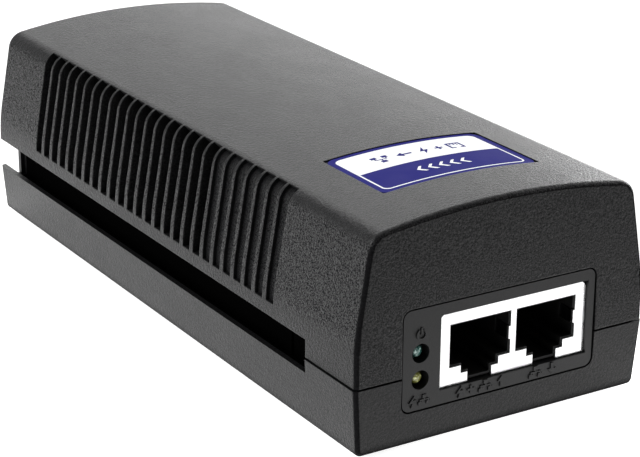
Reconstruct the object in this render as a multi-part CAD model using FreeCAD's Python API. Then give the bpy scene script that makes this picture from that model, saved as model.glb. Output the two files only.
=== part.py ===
"""Mid-span power injector in a two-part plastic case.

Two network sockets are at the front and a mains inlet is at the back.
Millimetres. +Z up, the sockets face -Y, the origin is on the floor under the middle of the case.
"""

import FreeCAD
import Part

import math
import os

Vector = FreeCAD.Vector

# ---- case ----------------------------------------------------------------------------------------
CASE_WIDTH = 61.0  # of the lid, at the parting line
BASE_PROUD = 0.15  # how far the base's sides stand out past the lid's
CASE_LENGTH = 145.3  # at the parting line
FOOT_STAND_OFF = 0.7  # how far the rubber feet lift the case off the floor
BASE_Z = FOOT_STAND_OFF
PARTING_Z = BASE_Z + 12.75
CROWN_Z = BASE_Z + 41.9  # top of the arched lid, on the centre line
CROWN_RADIUS = 150.0
PARTING_GAP = 0.4  # shadow line between the two shells
WALL = 2.2
BASE_DRAFT = 0.9  # how much narrower each side is at the bottom edge than at the parting line
SIDE_BEND_Z = BASE_Z + 20.7  # above this height the sides lean inwards
SIDE_LEAN = math.tan(math.radians(9.6))
SIDE_BEND_RADIUS = 35.0
SHOULDER_RADIUS = 3.8
BASE_EDGE_RADIUS = 1.2
END_EDGE_RADIUS = 0.9
END_DRAFT_LOW = 0.4
END_DRAFT_HIGH = 0.55
FRONT_Y = -CASE_LENGTH / 2
REAR_Y = CASE_LENGTH / 2

# ---- cooling slots -------------------------------------------------------------------------------
VENT_COUNT = 26
VENT_PITCH = 3.85
VENT_WIDTH = 2.55  # at the lower end
VENT_FLARE = 0.6  # how much further a slot reaches towards the sockets at its upper end
VENT_FIRST_Y = -44.5  # centre of the slot nearest the sockets, at its lower end
VENT_BLIND_COUNT = 7  # the slots nearest the sockets don't go through the wall
VENT_BLIND_DEPTH = 0.7
VENT_BOTTOM_Z = BASE_Z + 18.85
VENT_TOP_X = 25.6  # where the slots end on the shoulder, from the centre line
VENT_TOP_Z = BASE_Z + 39.4
VENT_INNER_X = 20.0  # how far in the cutters reach, past the inside of the walls

# ---- bracket channels along both sides -----------------------------------------------------------
CHANNEL_FRONT_Y = FRONT_Y + 16.0
CHANNEL_MOUTH_Z = (BASE_Z + 10.0, BASE_Z + 16.25)
CHANNEL_INSIDE_Z = (BASE_Z + 7.6, BASE_Z + 17.2)
CHANNEL_INSIDE_X = (25.4, 29.3)  # inner wall and the back of the lips, from the centre line
CHANNEL_WALL = 1.5
DETENT_Y = CHANNEL_FRONT_Y + 12.7
DETENT_SIZE = (0.5, 1.0)  # height and width of the small rib that clicks into a bracket

# ---- front panel ---------------------------------------------------------------------------------
PANEL_X = (-20.9, 19.5)
PANEL_Z = (BASE_Z + 6.25, BASE_Z + 24.75)
PANEL_CORNER = 1.5
PANEL_GAP = 0.3
PANEL_Y = FRONT_Y + 0.3  # its face, a little behind the case front
PANEL_FLANGE = 1.2  # how far the hidden flange reaches behind the front wall
PANEL_FLANGE_Y = FRONT_Y + WALL + 0.35

# ---- rear panel ----------------------------------------------------------------------------------
REAR_PANEL_HALF_WIDTH = 26.3
REAR_PANEL_Z = (BASE_Z + 5.2, BASE_Z + 33.2)
REAR_PANEL_Y = (REAR_Y - 1.45, REAR_Y - 0.25)
REAR_PANEL_LEDGE = 2.2

# ---- two-port socket -----------------------------------------------------------------------------
JACK_CENTRE_X = 2.44
JACK_WIDTH = 31.2
JACK_Z = (BASE_Z + 8.9, BASE_Z + 22.55)
JACK_Y = (PANEL_Y + 0.6, PANEL_Y + 21.7)
JACK_SHEET = 0.3
JACK_CORNER = 1.6  # outside radius of its two upper edges
PORT_PITCH = 13.97
PORT_HALF_WIDTHS = (2.55, 3.98, 6.42)  # latch notch, latch shoulder, plug body
PORT_LEVELS = (BASE_Z + 8.9, BASE_Z + 10.75, BASE_Z + 12.2, BASE_Z + 20.25)
PORT_NARROWING = 0.3  # of the insert behind the shield's face, on each side
PORT_DEPTH = 14.6
SPRING_TAB_Z = (BASE_Z + 14.9, BASE_Z + 17.3)
CONTACT_COUNT = 8
CONTACT_PITCH = 1.02
CONTACT_RADIUS = 0.17
CONTACT_PIVOT = (PANEL_Y + 4.0, BASE_Z + 21.5)  # y and z of the bend that each contact flexes about
CONTACT_BEND_RADIUS = 0.35
CONTACT_TIP = (PANEL_Y + 12.4, BASE_Z + 17.3)
TAIL_DROP_Y = JACK_Y[1] - 1.2  # where the fixed ends of the contacts go down to the board

# ---- indicator lamps -----------------------------------------------------------------------------
LAMP_X = -17.3
LAMP_Z = {"lower": BASE_Z + 11.75, "upper": BASE_Z + 16.65}
LAMP_RADIUS = 1.5
LAMP_HOLE_RADIUS = 1.75

# ---- circuit board -------------------------------------------------------------------------------
BOARD_HALF_WIDTH = 21.3
BOARD_Y = (FRONT_Y + 3.9, 53.0)
BOARD_THICKNESS = 1.6
BOARD_TOP = JACK_Z[0] - 0.1
BOARD_SCREWS = [(-18.5, -46.0), (18.5, -46.0), (-18.5, 43.5), (18.5, 43.5)]
BOARD_SCREW_RADIUS = 1.25
BOARD_POST_RADIUS = 2.7

# ---- case screws and feet ------------------------------------------------------------------------
CASE_SCREWS = [(-24.4, -64.0), (24.4, -64.0), (-18.6, 63.5), (18.6, 63.5)]
SCREW_SEAT_Z = BASE_Z + 3.2
CASE_SCREW_RADIUS = 1.5
CASE_SCREW_HEAD_RADIUS = 2.8
SCREW_POST_RADIUS = 2.8
SCREW_WELL_RADIUS = 4.4  # the thick ring round each recessed screw head
FEET = [(-19.5, -51.0), (19.5, -51.0), (-19.5, 51.0), (19.5, 51.0)]
FOOT_RADIUS = 4.5
FOOT_RECESS = 0.8

# ---- labels --------------------------------------------------------------------------------------
LABEL_X = (-16.6, 16.3)  # the recess that the top label lies in
LABEL_Y = (FRONT_Y + 13.55, FRONT_Y + 33.2)
LABEL_RECESS_CORNER = 0.3
LABEL_CORNER = 2.0
LABEL_RECESS = 0.32
LABEL_THICKNESS = 0.15
LABEL_GAP = 0.1
RATING_HALF_SIZE = (16.0, 30.0)
RATING_RECESS = 0.3

# ---- mains inlet ---------------------------------------------------------------------------------
INLET_Z = BASE_Z + 19.2
INLET_HALF_SIZE = (13.7, 9.9)
INLET_CORNER_CUT = 5.0
INLET_CAVITY_HALF_SIZE = (12.0, 8.3)
INLET_CAVITY_CUT = 4.4
INLET_CAVITY_DEPTH = 14.5
INLET_Y = (55.0, REAR_Y - 0.1)
INLET_PINS = {"line": (7.0, -2.0), "neutral": (-7.0, -2.0), "earth": (0.0, 2.0)}
WIRE_RADIUS = 0.9

CLEARANCE = 0.05  # between pieces that fit together without moving
OUTSIDE = 100.0  # a length that is past every face


# ---- small building blocks -----------------------------------------------------------------------
def box(xs, ys, zs):
    size = [high - low for low, high in (xs, ys, zs)]
    return Part.makeBox(*size, Vector(xs[0], ys[0], zs[0]))


def disc(x, y, z_low, z_high, radius):
    """An upright cylinder."""
    return Part.makeCylinder(radius, z_high - z_low, Vector(x, y, z_low))


def rod_y(x, z, y_low, y_high, radius):
    return Part.makeCylinder(radius, y_high - y_low, Vector(x, y_low, z), Vector(0, 1, 0))


def both_sides(shape):
    """The shape and its mirror image across the centre line."""
    return [shape, shape.mirror(Vector(0, 0, 0), Vector(1, 0, 0))]


def fuse_all(shapes):
    shapes = list(shapes)
    joined = shapes[0].multiFuse(shapes[1:]) if len(shapes) > 1 else shapes[0]
    return joined.removeSplitter()


def edges_along(shape, axis, test):
    """Straight edges parallel to an axis (0, 1 or 2) whose middle passes the test."""
    found = []
    for edge in shape.Edges:
        if edge.Curve.TypeId != "Part::GeomLine":
            continue
        along = edge.Vertexes[-1].Point - edge.Vertexes[0].Point
        if along.Length > 1e-6 and abs(along[axis]) / along.Length > 0.999:
            if test(edge.CenterOfMass):
                found.append(edge)
    return found


def outline(points, axis, start, depth):
    """A closed polygon pushed along an axis: (x, z) points for axis y, (y, z) for x and (x, y) for z."""
    place = {"x": lambda a, b: Vector(start, a, b), "y": lambda a, b: Vector(a, start, b),
             "z": lambda a, b: Vector(a, b, start)}[axis]
    push = {"x": Vector(depth, 0, 0), "y": Vector(0, depth, 0), "z": Vector(0, 0, depth)}[axis]
    corners = [place(a, b) for a, b in points]
    return Part.Face(Part.makePolygon(corners + corners[:1])).extrude(push)


def rounded_box(xs, ys, zs, axis, radius):
    """A box with the four edges along one axis rounded."""
    plain = box(xs, ys, zs)
    return plain.makeFillet(radius, edges_along(plain, axis, lambda middle: True))


def bored(shape, *cutters):
    return shape.cut(Part.makeCompound(list(cutters)))


# ---- case blocks ---------------------------------------------------------------------------------
def side_x(z):
    """Half width of the case at a height, before the bend is rounded."""
    return CASE_WIDTH / 2 - max(0.0, z - SIDE_BEND_Z) * SIDE_LEAN


def crown_arc_height(x, inset=0.0):
    centre_z = CROWN_Z - CROWN_RADIUS
    return centre_z + math.sqrt((CROWN_RADIUS - inset) ** 2 - x * x)


def shoulder_point(inset):
    """Where the leaning side meets the arched top, if neither were rounded."""
    lean_inset = inset * math.hypot(1.0, SIDE_LEAN)
    z = CROWN_Z - 3.0
    for _ in range(20):
        z = crown_arc_height(side_x(z) - lean_inset, inset)
    return side_x(z) - lean_inset, z


def end_cut(inset, z_low, z_high):
    """The case seen from the side: its ends lean in a little, above and below the parting line."""
    half = CASE_LENGTH / 2 - inset
    slope_low = END_DRAFT_LOW / (PARTING_Z - BASE_Z)
    slope_high = END_DRAFT_HIGH / (CROWN_Z - PARTING_Z)
    levels = [(z_low, half - max(0.0, PARTING_Z - z_low) * slope_low),
              (z_high, half - max(0.0, z_high - PARTING_Z) * slope_high)]
    right = [(y, z) for z, y in levels]
    left = [(-y, z) for z, y in reversed(levels)]
    return outline(right + left, "x", -CASE_WIDTH, 2 * CASE_WIDTH)


def upper_block(inset=0.0, bottom=PARTING_Z):
    """The solid that the lid's outside, or its inside at an inset, would fill."""
    shoulder_x, shoulder_z = shoulder_point(inset)
    half = CASE_WIDTH / 2 - inset
    length = CASE_LENGTH
    y = -length / 2

    def at(x, z):
        return Vector(x, y, z)

    crown = Part.Arc(at(shoulder_x, shoulder_z), at(0, CROWN_Z - inset), at(-shoulder_x, shoulder_z))
    sides = [at(-shoulder_x, shoulder_z), at(-half, SIDE_BEND_Z), at(-half, bottom), at(half, bottom),
             at(half, SIDE_BEND_Z), at(shoulder_x, shoulder_z)]
    section = Part.Wire([crown.toShape()] + list(Part.makePolygon(sides).Edges))
    block = Part.Face(section).extrude(Vector(0, length, 0))
    block = block.makeFillet(SIDE_BEND_RADIUS,
                             edges_along(block, 1, lambda m: abs(m.z - SIDE_BEND_Z) < 0.01))
    block = block.makeFillet(max(SHOULDER_RADIUS - inset, 0.4),
                             edges_along(block, 1, lambda m: abs(m.z - shoulder_z) < 0.01))
    return block.common(end_cut(inset, bottom, CROWN_Z + 1))


def lower_block(inset=0.0, top=PARTING_Z):
    base_z = BASE_Z + inset
    half = CASE_WIDTH / 2 + BASE_PROUD - inset
    low_half = half - BASE_DRAFT * (PARTING_Z - base_z) / (PARTING_Z - BASE_Z)
    corners = [(-low_half, base_z), (low_half, base_z), (half, top), (-half, top)]
    block = outline(corners, "y", -CASE_LENGTH / 2, CASE_LENGTH)
    return block.common(end_cut(inset, base_z, top))


def round_ends(block, radius, keep_flat_z):
    """Rounds the front and back rims of a block, but not the edges that lie in its parting plane."""
    rims = []
    for edge in block.Edges:
        middle = edge.valueAt((edge.FirstParameter + edge.LastParameter) / 2)
        points = [v.Point for v in edge.Vertexes] + [middle]
        at_an_end = all(abs(p.y) > CASE_LENGTH / 2 - 2.0 for p in points)
        in_the_parting_plane = all(abs(p.z - keep_flat_z) < 1e-3 for p in points)
        if at_an_end and not in_the_parting_plane:
            rims.append(edge)
    return block.makeFillet(radius, rims)


def channel_housing():
    """The walls around both bracket channels, as solid bars."""
    return both_sides(box(
        (CHANNEL_INSIDE_X[0] - CHANNEL_WALL, CASE_WIDTH / 2 - 0.3),
        (CHANNEL_FRONT_Y - CHANNEL_WALL, REAR_PANEL_Y[0] - CLEARANCE),
        (CHANNEL_INSIDE_Z[0] - CHANNEL_WALL, CHANNEL_INSIDE_Z[1] + 1.2)))


def channel_space():
    """The two channels: a deep inside behind two lips, a mouth along the case and an open back end."""
    inside = box(CHANNEL_INSIDE_X, (CHANNEL_FRONT_Y, OUTSIDE), CHANNEL_INSIDE_Z)
    mouth = box((CHANNEL_INSIDE_X[0], OUTSIDE), (CHANNEL_FRONT_Y, OUTSIDE), CHANNEL_MOUTH_Z)
    height, width = DETENT_SIZE
    detent = box((CHANNEL_INSIDE_X[0] - 0.1, CHANNEL_INSIDE_X[0] + height),
                 (DETENT_Y - width / 2, DETENT_Y + width / 2), CHANNEL_INSIDE_Z)
    return both_sides(inside.fuse(mouth).cut(detent))


def vents(kept):
    """Cutters for the cooling slots, which wrap over the shoulder and widen a little on their way up.

    The blind slots leave the kept block, the case less their depth, uncut.
    """
    above, half = CROWN_Z + 5, VENT_WIDTH / 2
    profile = [(VENT_INNER_X, VENT_BOTTOM_Z), (OUTSIDE, VENT_BOTTOM_Z), (OUTSIDE, above),
               (VENT_TOP_X, above), (VENT_TOP_X, VENT_TOP_Z), (VENT_TOP_X - 3, VENT_TOP_Z - 3),
               (VENT_INNER_X, VENT_TOP_Z - 3)]
    cutters = []
    for number in range(VENT_COUNT):
        y = VENT_FIRST_Y + number * VENT_PITCH
        front = y - half - VENT_FLARE
        side = [(y - half, VENT_BOTTOM_Z), (y + half, VENT_BOTTOM_Z), (y + half, above),
                (front, above), (front, VENT_TOP_Z)]
        slot = outline(profile, "y", front, VENT_WIDTH + VENT_FLARE)
        slot = slot.common(outline(side, "x", 0, OUTSIDE))
        if number < VENT_BLIND_COUNT:
            slot = slot.cut(kept)
        cutters += both_sides(slot)
    return cutters


def front_panel_opening(grow, ys):
    xs = (PANEL_X[0] - grow, PANEL_X[1] + grow)
    zs = (PANEL_Z[0] - grow, PANEL_Z[1] + grow)
    return rounded_box(xs, ys, zs, 1, PANEL_CORNER + grow)


def rear_panel_openings():
    """The hole in the back of the case and the wider rebate that the rear panel lies in."""
    half = REAR_PANEL_HALF_WIDTH + 0.1
    low, high = REAR_PANEL_Z[0] - 0.1, REAR_PANEL_Z[1] + 0.1
    rebate = box((-half, half), (REAR_PANEL_Y[0] - CLEARANCE, OUTSIDE), (low, high))
    ledge = REAR_PANEL_LEDGE
    hole = box((-half + ledge, half - ledge), (REAR_Y - WALL - 5, OUTSIDE), (low + ledge, high - ledge))
    return [rebate, hole]


def lip_ring(outer_inset, inner_inset, z_low, z_high):
    """A band along the inside of the front corners, used for the lip and its rebate."""
    xs, zs = (-CASE_WIDTH, CASE_WIDTH), (z_low, z_high)
    outer = box(xs, (FRONT_Y + outer_inset, CHANNEL_FRONT_Y - CHANNEL_WALL - 0.3), zs)
    outer = outer.common(box((-CASE_WIDTH / 2 + outer_inset, CASE_WIDTH / 2 - outer_inset),
                             (-OUTSIDE, OUTSIDE), zs))
    inner = box((-CASE_WIDTH / 2 + inner_inset, CASE_WIDTH / 2 - inner_inset),
                (FRONT_Y + inner_inset, OUTSIDE), zs)
    beside_panel = box((PANEL_X[0] - 2.5, PANEL_X[1] + 2.5), (-OUTSIDE, OUTSIDE), zs)
    return bored(outer, inner, beside_panel)


def label_curve(xs, ys, depth, thickness, corner):
    """A thin plate that follows the arch of the lid, its top at a depth below the surface."""
    centre = Vector(0, -OUTSIDE, CROWN_Z - CROWN_RADIUS)
    skin = [Part.makeCylinder(CROWN_RADIUS - d, 2 * OUTSIDE, centre, Vector(0, 1, 0))
            for d in (depth, depth + thickness)]
    tile = rounded_box(xs, ys, (CROWN_Z - 8, CROWN_Z + 2), 2, corner)
    return tile.common(skin[0]).cut(skin[1])


# ---- shells --------------------------------------------------------------------------------------
def upper_shell():
    bottom = PARTING_Z + PARTING_GAP / 2
    outside = round_ends(upper_block(0.0, bottom), END_EDGE_RADIUS, bottom)
    shell = outside.cut(upper_block(WALL, bottom - 1))
    core = upper_block(1.0, bottom)
    extras = [bar.common(outside) for bar in channel_housing()]
    for x, y in CASE_SCREWS:
        extras.append(disc(x, y, bottom, CROWN_Z, SCREW_POST_RADIUS).common(core))
    shell = fuse_all([shell] + extras)
    cutters = vents(upper_block(VENT_BLIND_DEPTH, bottom)) + channel_space() + rear_panel_openings()
    cutters.append(front_panel_opening(PANEL_GAP, (-OUTSIDE, FRONT_Y + WALL + 0.5)))
    cutters.append(lip_ring(0.95, WALL + 0.5, bottom - 1, PARTING_Z + 1.5))
    cutters.append(label_curve(LABEL_X, LABEL_Y, -1.0, LABEL_RECESS + 1.0, LABEL_RECESS_CORNER))
    for x, y in CASE_SCREWS:
        cutters.append(disc(x, y, bottom - 1, bottom + 14, CASE_SCREW_RADIUS + CLEARANCE))
    return bored(shell, *cutters).removeSplitter()


def lower_shell():
    top = PARTING_Z - PARTING_GAP / 2
    outside = lower_block(0.0, top)
    outside = outside.makeFillet(BASE_EDGE_RADIUS,
                                 edges_along(outside, 1, lambda m: m.z < BASE_Z + 0.01))
    outside = round_ends(outside, END_EDGE_RADIUS, top)
    shell = outside.cut(lower_block(WALL, top + 1))
    extras = [bar.common(outside) for bar in channel_housing()]
    for x, y in CASE_SCREWS:
        extras.append(disc(x, y, BASE_Z + 0.5, SCREW_SEAT_Z + 1.6, SCREW_WELL_RADIUS).common(outside))
        extras.append(disc(x, y, BASE_Z + 0.5, top, SCREW_POST_RADIUS).common(outside))
    for x, y in BOARD_SCREWS:
        extras.append(disc(x, y, BASE_Z + 1, BOARD_TOP - BOARD_THICKNESS - CLEARANCE, BOARD_POST_RADIUS))
    extras.append(lip_ring(1.1, WALL, top - 0.6, PARTING_Z + 1.3))
    shell = fuse_all([shell] + extras)
    cutters = channel_space() + rear_panel_openings()
    cutters.append(front_panel_opening(PANEL_GAP, (-OUTSIDE, FRONT_Y + WALL + 0.5)))
    for x, y in CASE_SCREWS:
        cutters.append(disc(x, y, BASE_Z - 1, SCREW_SEAT_Z, CASE_SCREW_HEAD_RADIUS + 0.3))
        cutters.append(disc(x, y, BASE_Z, top + 1, CASE_SCREW_RADIUS + 0.15))
    for x, y in BOARD_SCREWS:
        cutters.append(disc(x, y, BASE_Z + 1.6, BOARD_TOP, BOARD_SCREW_RADIUS + CLEARANCE))
    for x, y in FEET:
        cutters.append(disc(x, y, BASE_Z - 1, BASE_Z + FOOT_RECESS, FOOT_RADIUS + 0.1))
    half_x, half_y = (half + 0.3 for half in RATING_HALF_SIZE)
    cutters.append(rounded_box((-half_x, half_x), (-half_y, half_y),
                               (BASE_Z - 1, BASE_Z + RATING_RECESS), 2, 2.0))
    return bored(shell, *cutters).removeSplitter()


# ---- symbols raised on the front panel -----------------------------------------------------------
RAISED = 0.25
SYMBOL = 1.8  # millimetres to one symbol unit


def raised(points, x, z, scale=SYMBOL):
    """A flat symbol standing out of the front panel: (x, z) points in units round its middle."""
    shifted = [(x + a * scale, z + b * scale) for a, b in points]
    return outline(shifted, "y", PANEL_Y - RAISED, RAISED + 0.2)


def arrow(x, z, up):
    """A block arrow, pointing up for out and down for in."""
    way = 1 if up else -1
    head = [(-0.5, 0.05), (0.5, 0.05), (0, 0.6)]
    stem = [(-0.17, -0.55), (0.17, -0.55), (0.17, 0.1), (-0.17, 0.1)]
    return fuse_all(raised([(a, b * way) for a, b in part], x, z) for part in (head, stem))


def bolt(x, z):
    return raised([(0.2, 0.6), (-0.42, -0.12), (-0.02, -0.12), (-0.2, -0.6), (0.42, 0.14), (0.02, 0.14)],
                  x, z)


def plus(x, z):
    across = raised([(-0.42, -0.11), (0.42, -0.11), (0.42, 0.11), (-0.42, 0.11)], x, z)
    up = raised([(-0.11, -0.42), (0.11, -0.42), (0.11, 0.42), (-0.11, 0.42)], x, z)
    return across.fuse(up)


def network(x, z, scale=SYMBOL):
    """Three linked boxes, the usual drawing of a wired network."""
    def tile(cx, cz, half_x, half_z):
        return raised([(cx - half_x, cz - half_z), (cx + half_x, cz - half_z),
                       (cx + half_x, cz + half_z), (cx - half_x, cz + half_z)], x, z, scale)

    tiles = [tile(0, 0.4, 0.26, 0.2), tile(-0.55, -0.4, 0.26, 0.2), tile(0.55, -0.4, 0.26, 0.2)]
    links = [tile(0, 0.1, 0.07, 0.16), tile(0, 0.0, 0.62, 0.07),
             tile(-0.55, -0.1, 0.07, 0.15), tile(0.55, -0.1, 0.07, 0.15)]
    return fuse_all(tiles + links)


def power(x, z, scale):
    """The usual power mark: an open ring with a bar in the gap."""
    ring = rod_y(x, z, PANEL_Y - RAISED, PANEL_Y + 0.2, 0.5 * scale)
    ring = ring.cut(rod_y(x, z, PANEL_Y - 1, PANEL_Y + 1, 0.34 * scale))
    ring = ring.cut(raised([(-0.2, 0), (0.2, 0), (0.2, 0.8), (-0.2, 0.8)], x, z, scale))
    bar = raised([(-0.08, 0.0), (0.08, 0.0), (0.08, 0.6), (-0.08, 0.6)], x, z, scale)
    return [ring, bar]


# ---- panels --------------------------------------------------------------------------------------
def jack_box(grow, ys):
    half = JACK_WIDTH / 2 + grow
    return box((JACK_CENTRE_X - half, JACK_CENTRE_X + half), ys, (JACK_Z[0] - grow, JACK_Z[1] + grow))


def port_panel():
    face = front_panel_opening(0.0, (PANEL_Y, PANEL_FLANGE_Y + 0.5))
    flange = front_panel_opening(PANEL_FLANGE, (PANEL_FLANGE_Y, PANEL_FLANGE_Y + 1.0))
    low = PANEL_Z[0] + 1.4
    left_port, right_port = (JACK_CENTRE_X + side * PORT_PITCH / 2 for side in (-1, 1))
    marks = [bolt(left_port - 4.6, low), plus(left_port - 2.2, low), network(left_port + 0.9, low),
             arrow(left_port + 4.3, low, True), network(right_port - 2.3, low),
             arrow(right_port + 1.3, low, False), bolt(LAMP_X - 1.6, low + 0.4),
             network(LAMP_X + 0.8, low + 0.4, 1.5)]
    marks += power(LAMP_X, LAMP_Z["upper"] + 3.5, 2.1)
    panel = fuse_all([face, flange] + marks)
    cutters = [jack_box(0.1, (-OUTSIDE, OUTSIDE))]
    for z in LAMP_Z.values():
        cutters.append(rod_y(LAMP_X, z, -OUTSIDE, FRONT_Y + 10, LAMP_HOLE_RADIUS))
    return bored(panel, *cutters)


def inlet_outline(half_size, cut, y_low, y_high):
    """A rectangle with its two upper corners cut off, as every earthed mains inlet of this size has."""
    half_x, half_z = half_size
    points = [(-half_x, -half_z), (half_x, -half_z), (half_x, half_z - cut), (half_x - cut, half_z),
              (-half_x + cut, half_z), (-half_x, half_z - cut)]
    return outline([(x, INLET_Z + z) for x, z in points], "y", y_low, y_high - y_low)


def rear_panel():
    plate = box((-REAR_PANEL_HALF_WIDTH, REAR_PANEL_HALF_WIDTH), REAR_PANEL_Y, REAR_PANEL_Z)
    half_x, half_z = INLET_HALF_SIZE
    return plate.cut(inlet_outline((half_x + 0.1, half_z + 0.1), INLET_CORNER_CUT, 60, OUTSIDE))


# ---- network socket ------------------------------------------------------------------------------
def port_centres():
    return {"out": JACK_CENTRE_X - PORT_PITCH / 2, "in": JACK_CENTRE_X + PORT_PITCH / 2}


def port_space(x, ys, grow=0.0, floor=PORT_LEVELS[0]):
    """The stepped hole that a network plug and its latch go into."""
    notch, shoulder, body = (half + grow for half in PORT_HALF_WIDTHS)
    _, latch_z, body_z, top_z = PORT_LEVELS
    parts = [box((x - notch, x + notch), ys, (floor, body_z + 1)),
             box((x - shoulder, x + shoulder), ys, (latch_z - grow, body_z + 1)),
             box((x - body, x + body), ys, (body_z - grow, top_z + grow))]
    return fuse_all(parts)


def spring_tab(x):
    """A small tongue of the shield at the right of a port, bent inwards to touch the plug's shield."""
    edge = x + PORT_HALF_WIDTHS[2]
    y = JACK_Y[0]
    tongue = [(edge - 0.38, y), (edge - 0.42, y + 1.4), (edge - 0.07, y + 3.8), (edge + 0.13, y + 3.8),
              (edge - 0.2, y + 1.4), (edge - 0.15, y + JACK_SHEET),
              (edge + 0.3, y + JACK_SHEET), (edge + 0.3, y)]
    return outline(tongue, "z", SPRING_TAB_Z[0], SPRING_TAB_Z[1] - SPRING_TAB_Z[0])


def jack_shield():
    outside = jack_box(0.0, JACK_Y)
    outside = outside.makeFillet(JACK_CORNER, edges_along(outside, 1, lambda m: m.z > JACK_Z[1] - 0.01))
    hollow = jack_box(-JACK_SHEET, (JACK_Y[0] + JACK_SHEET, JACK_Y[1] - JACK_SHEET))
    hollow = hollow.makeFillet(JACK_CORNER - JACK_SHEET,
                               edges_along(hollow, 1, lambda m: m.z > JACK_Z[1] - JACK_SHEET - 0.01))
    shield = outside.cut(hollow)
    mouth = (JACK_Y[0] - 1, JACK_Y[0] + 1)
    cutters = []
    for x in port_centres().values():
        cutters.append(port_space(x, mouth, floor=JACK_Z[0] + JACK_SHEET))
        cutters.append(box((x - PORT_HALF_WIDTHS[0], x + PORT_HALF_WIDTHS[0]), mouth,
                           (JACK_Z[0] - 1, JACK_Z[0] + 1)))
    shield = bored(shield, *cutters)
    tail_slot_half = PORT_PITCH / 2 + CONTACT_COUNT * CONTACT_PITCH / 2 + 0.4
    tail_slot = box((JACK_CENTRE_X - tail_slot_half, JACK_CENTRE_X + tail_slot_half),
                    (TAIL_DROP_Y - 0.6, TAIL_DROP_Y + 0.6), (JACK_Z[0] - 1, JACK_Z[0] + 1))
    shield = shield.cut(tail_slot)
    tabs = [spring_tab(x) for x in port_centres().values()]
    return fuse_all([shield] + tabs)


def contact_pocket(x):
    """Room above the plug's space for the eight contacts to lie in and flex up into."""
    half = CONTACT_COUNT * CONTACT_PITCH / 2 + 0.2
    return box((x - half, x + half), (CONTACT_PIVOT[0] - 1.2, JACK_Y[0] + PORT_DEPTH),
               (PORT_LEVELS[3] - 1, CONTACT_PIVOT[1] + 0.1))


def jack_insert():
    body = jack_box(-JACK_SHEET - CLEARANCE,
                    (JACK_Y[0] + JACK_SHEET + CLEARANCE, JACK_Y[1] - JACK_SHEET - CLEARANCE))
    body = body.makeFillet(JACK_CORNER - JACK_SHEET,
                           edges_along(body, 1, lambda m: m.z > JACK_Z[1] - JACK_SHEET - 0.1))
    cutters = []
    cutters += tail_grooves()
    for x in port_centres().values():
        ys = (JACK_Y[0] - 1, JACK_Y[0] + PORT_DEPTH)
        cutters.append(port_space(x, ys, -PORT_NARROWING, floor=JACK_Z[0] + JACK_SHEET + 0.5))
        cutters.append(contact_pocket(x))
        edge = x + PORT_HALF_WIDTHS[2]
        cutters.append(box((edge - 0.5, edge + 0.4), (JACK_Y[0] - 1, JACK_Y[0] + 4.2),
                           (SPRING_TAB_Z[0] - 0.2, SPRING_TAB_Z[1] + 0.2)))
    return bored(body, *cutters)


def contact_xs(x_centre):
    first = x_centre - (CONTACT_COUNT - 1) / 2 * CONTACT_PITCH
    return [first + number * CONTACT_PITCH for number in range(CONTACT_COUNT)]


def contact_row(x_centre):
    """Eight springy arms, each from its bend near the front down into the port."""
    (pivot_y, pivot_z), (tip_y, tip_z) = CONTACT_PIVOT, CONTACT_TIP
    arms = []
    for x in contact_xs(x_centre):
        start = Vector(x, pivot_y + CLEARANCE, pivot_z - CONTACT_BEND_RADIUS)
        end = Vector(x, tip_y, tip_z)
        along = end - start
        arm = Part.makeCylinder(CONTACT_RADIUS, along.Length, start, along)
        arm = arm.common(box((x - 1, x + 1), (start.y, OUTSIDE), (0, OUTSIDE)))
        arms.append(fuse_all([arm, Part.makeSphere(CONTACT_RADIUS, end)]))
    return Part.makeCompound(arms)


def contact_tails():
    """The fixed rest of each contact: round its bend, along the socket's roof and down to the board."""
    pivot_y, pivot_z = CONTACT_PIVOT
    radius = CONTACT_BEND_RADIUS
    roof, back = pivot_z + radius, TAIL_DROP_Y
    turn = 0.6
    halfway = turn * (1 - math.sqrt(0.5))
    tails = []
    for x in [x for centre in port_centres().values() for x in contact_xs(centre)]:
        def at(y, z):
            return Vector(x, y, z)

        bend = Part.Arc(at(pivot_y, pivot_z - radius), at(pivot_y - radius, pivot_z), at(pivot_y, roof))
        run = Part.makeLine(at(pivot_y, roof), at(back - turn, roof))
        corner = Part.Arc(at(back - turn, roof), at(back - halfway, roof - halfway), at(back, roof - turn))
        drop = Part.makeLine(at(back, roof - turn), at(back, BOARD_TOP + CLEARANCE))
        path = Part.Wire([bend.toShape(), run, corner.toShape(), drop])
        ring = Part.Circle(at(pivot_y, pivot_z - radius), Vector(0, 1, 0), CONTACT_RADIUS)
        tails.append(path.makePipeShell([Part.Wire([ring.toShape()])], True, True))
    return Part.makeCompound(tails)


def tail_grooves():
    """Cutters for the grooves that the fixed wires lie in, over the insert and down its back."""
    half = CONTACT_RADIUS + CLEARANCE
    pivot_y, pivot_z = CONTACT_PIVOT
    grooves = []
    for x in [x for centre in port_centres().values() for x in contact_xs(centre)]:
        xs = (x - half, x + half)
        grooves.append(box(xs, (pivot_y - 1.2, OUTSIDE), (pivot_z - CONTACT_BEND_RADIUS, OUTSIDE)))
        grooves.append(box(xs, (TAIL_DROP_Y - half - 0.3, OUTSIDE), (0, OUTSIDE)))
    return grooves


# ---- indicator lamps -----------------------------------------------------------------------------
LAMP_TIP_Y = PANEL_Y + 0.75
LAMP_BACK_Y = LAMP_TIP_Y + 5.3
HOLDER_Y = (PANEL_FLANGE_Y + 1.1, PANEL_FLANGE_Y + 6.3)


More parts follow.
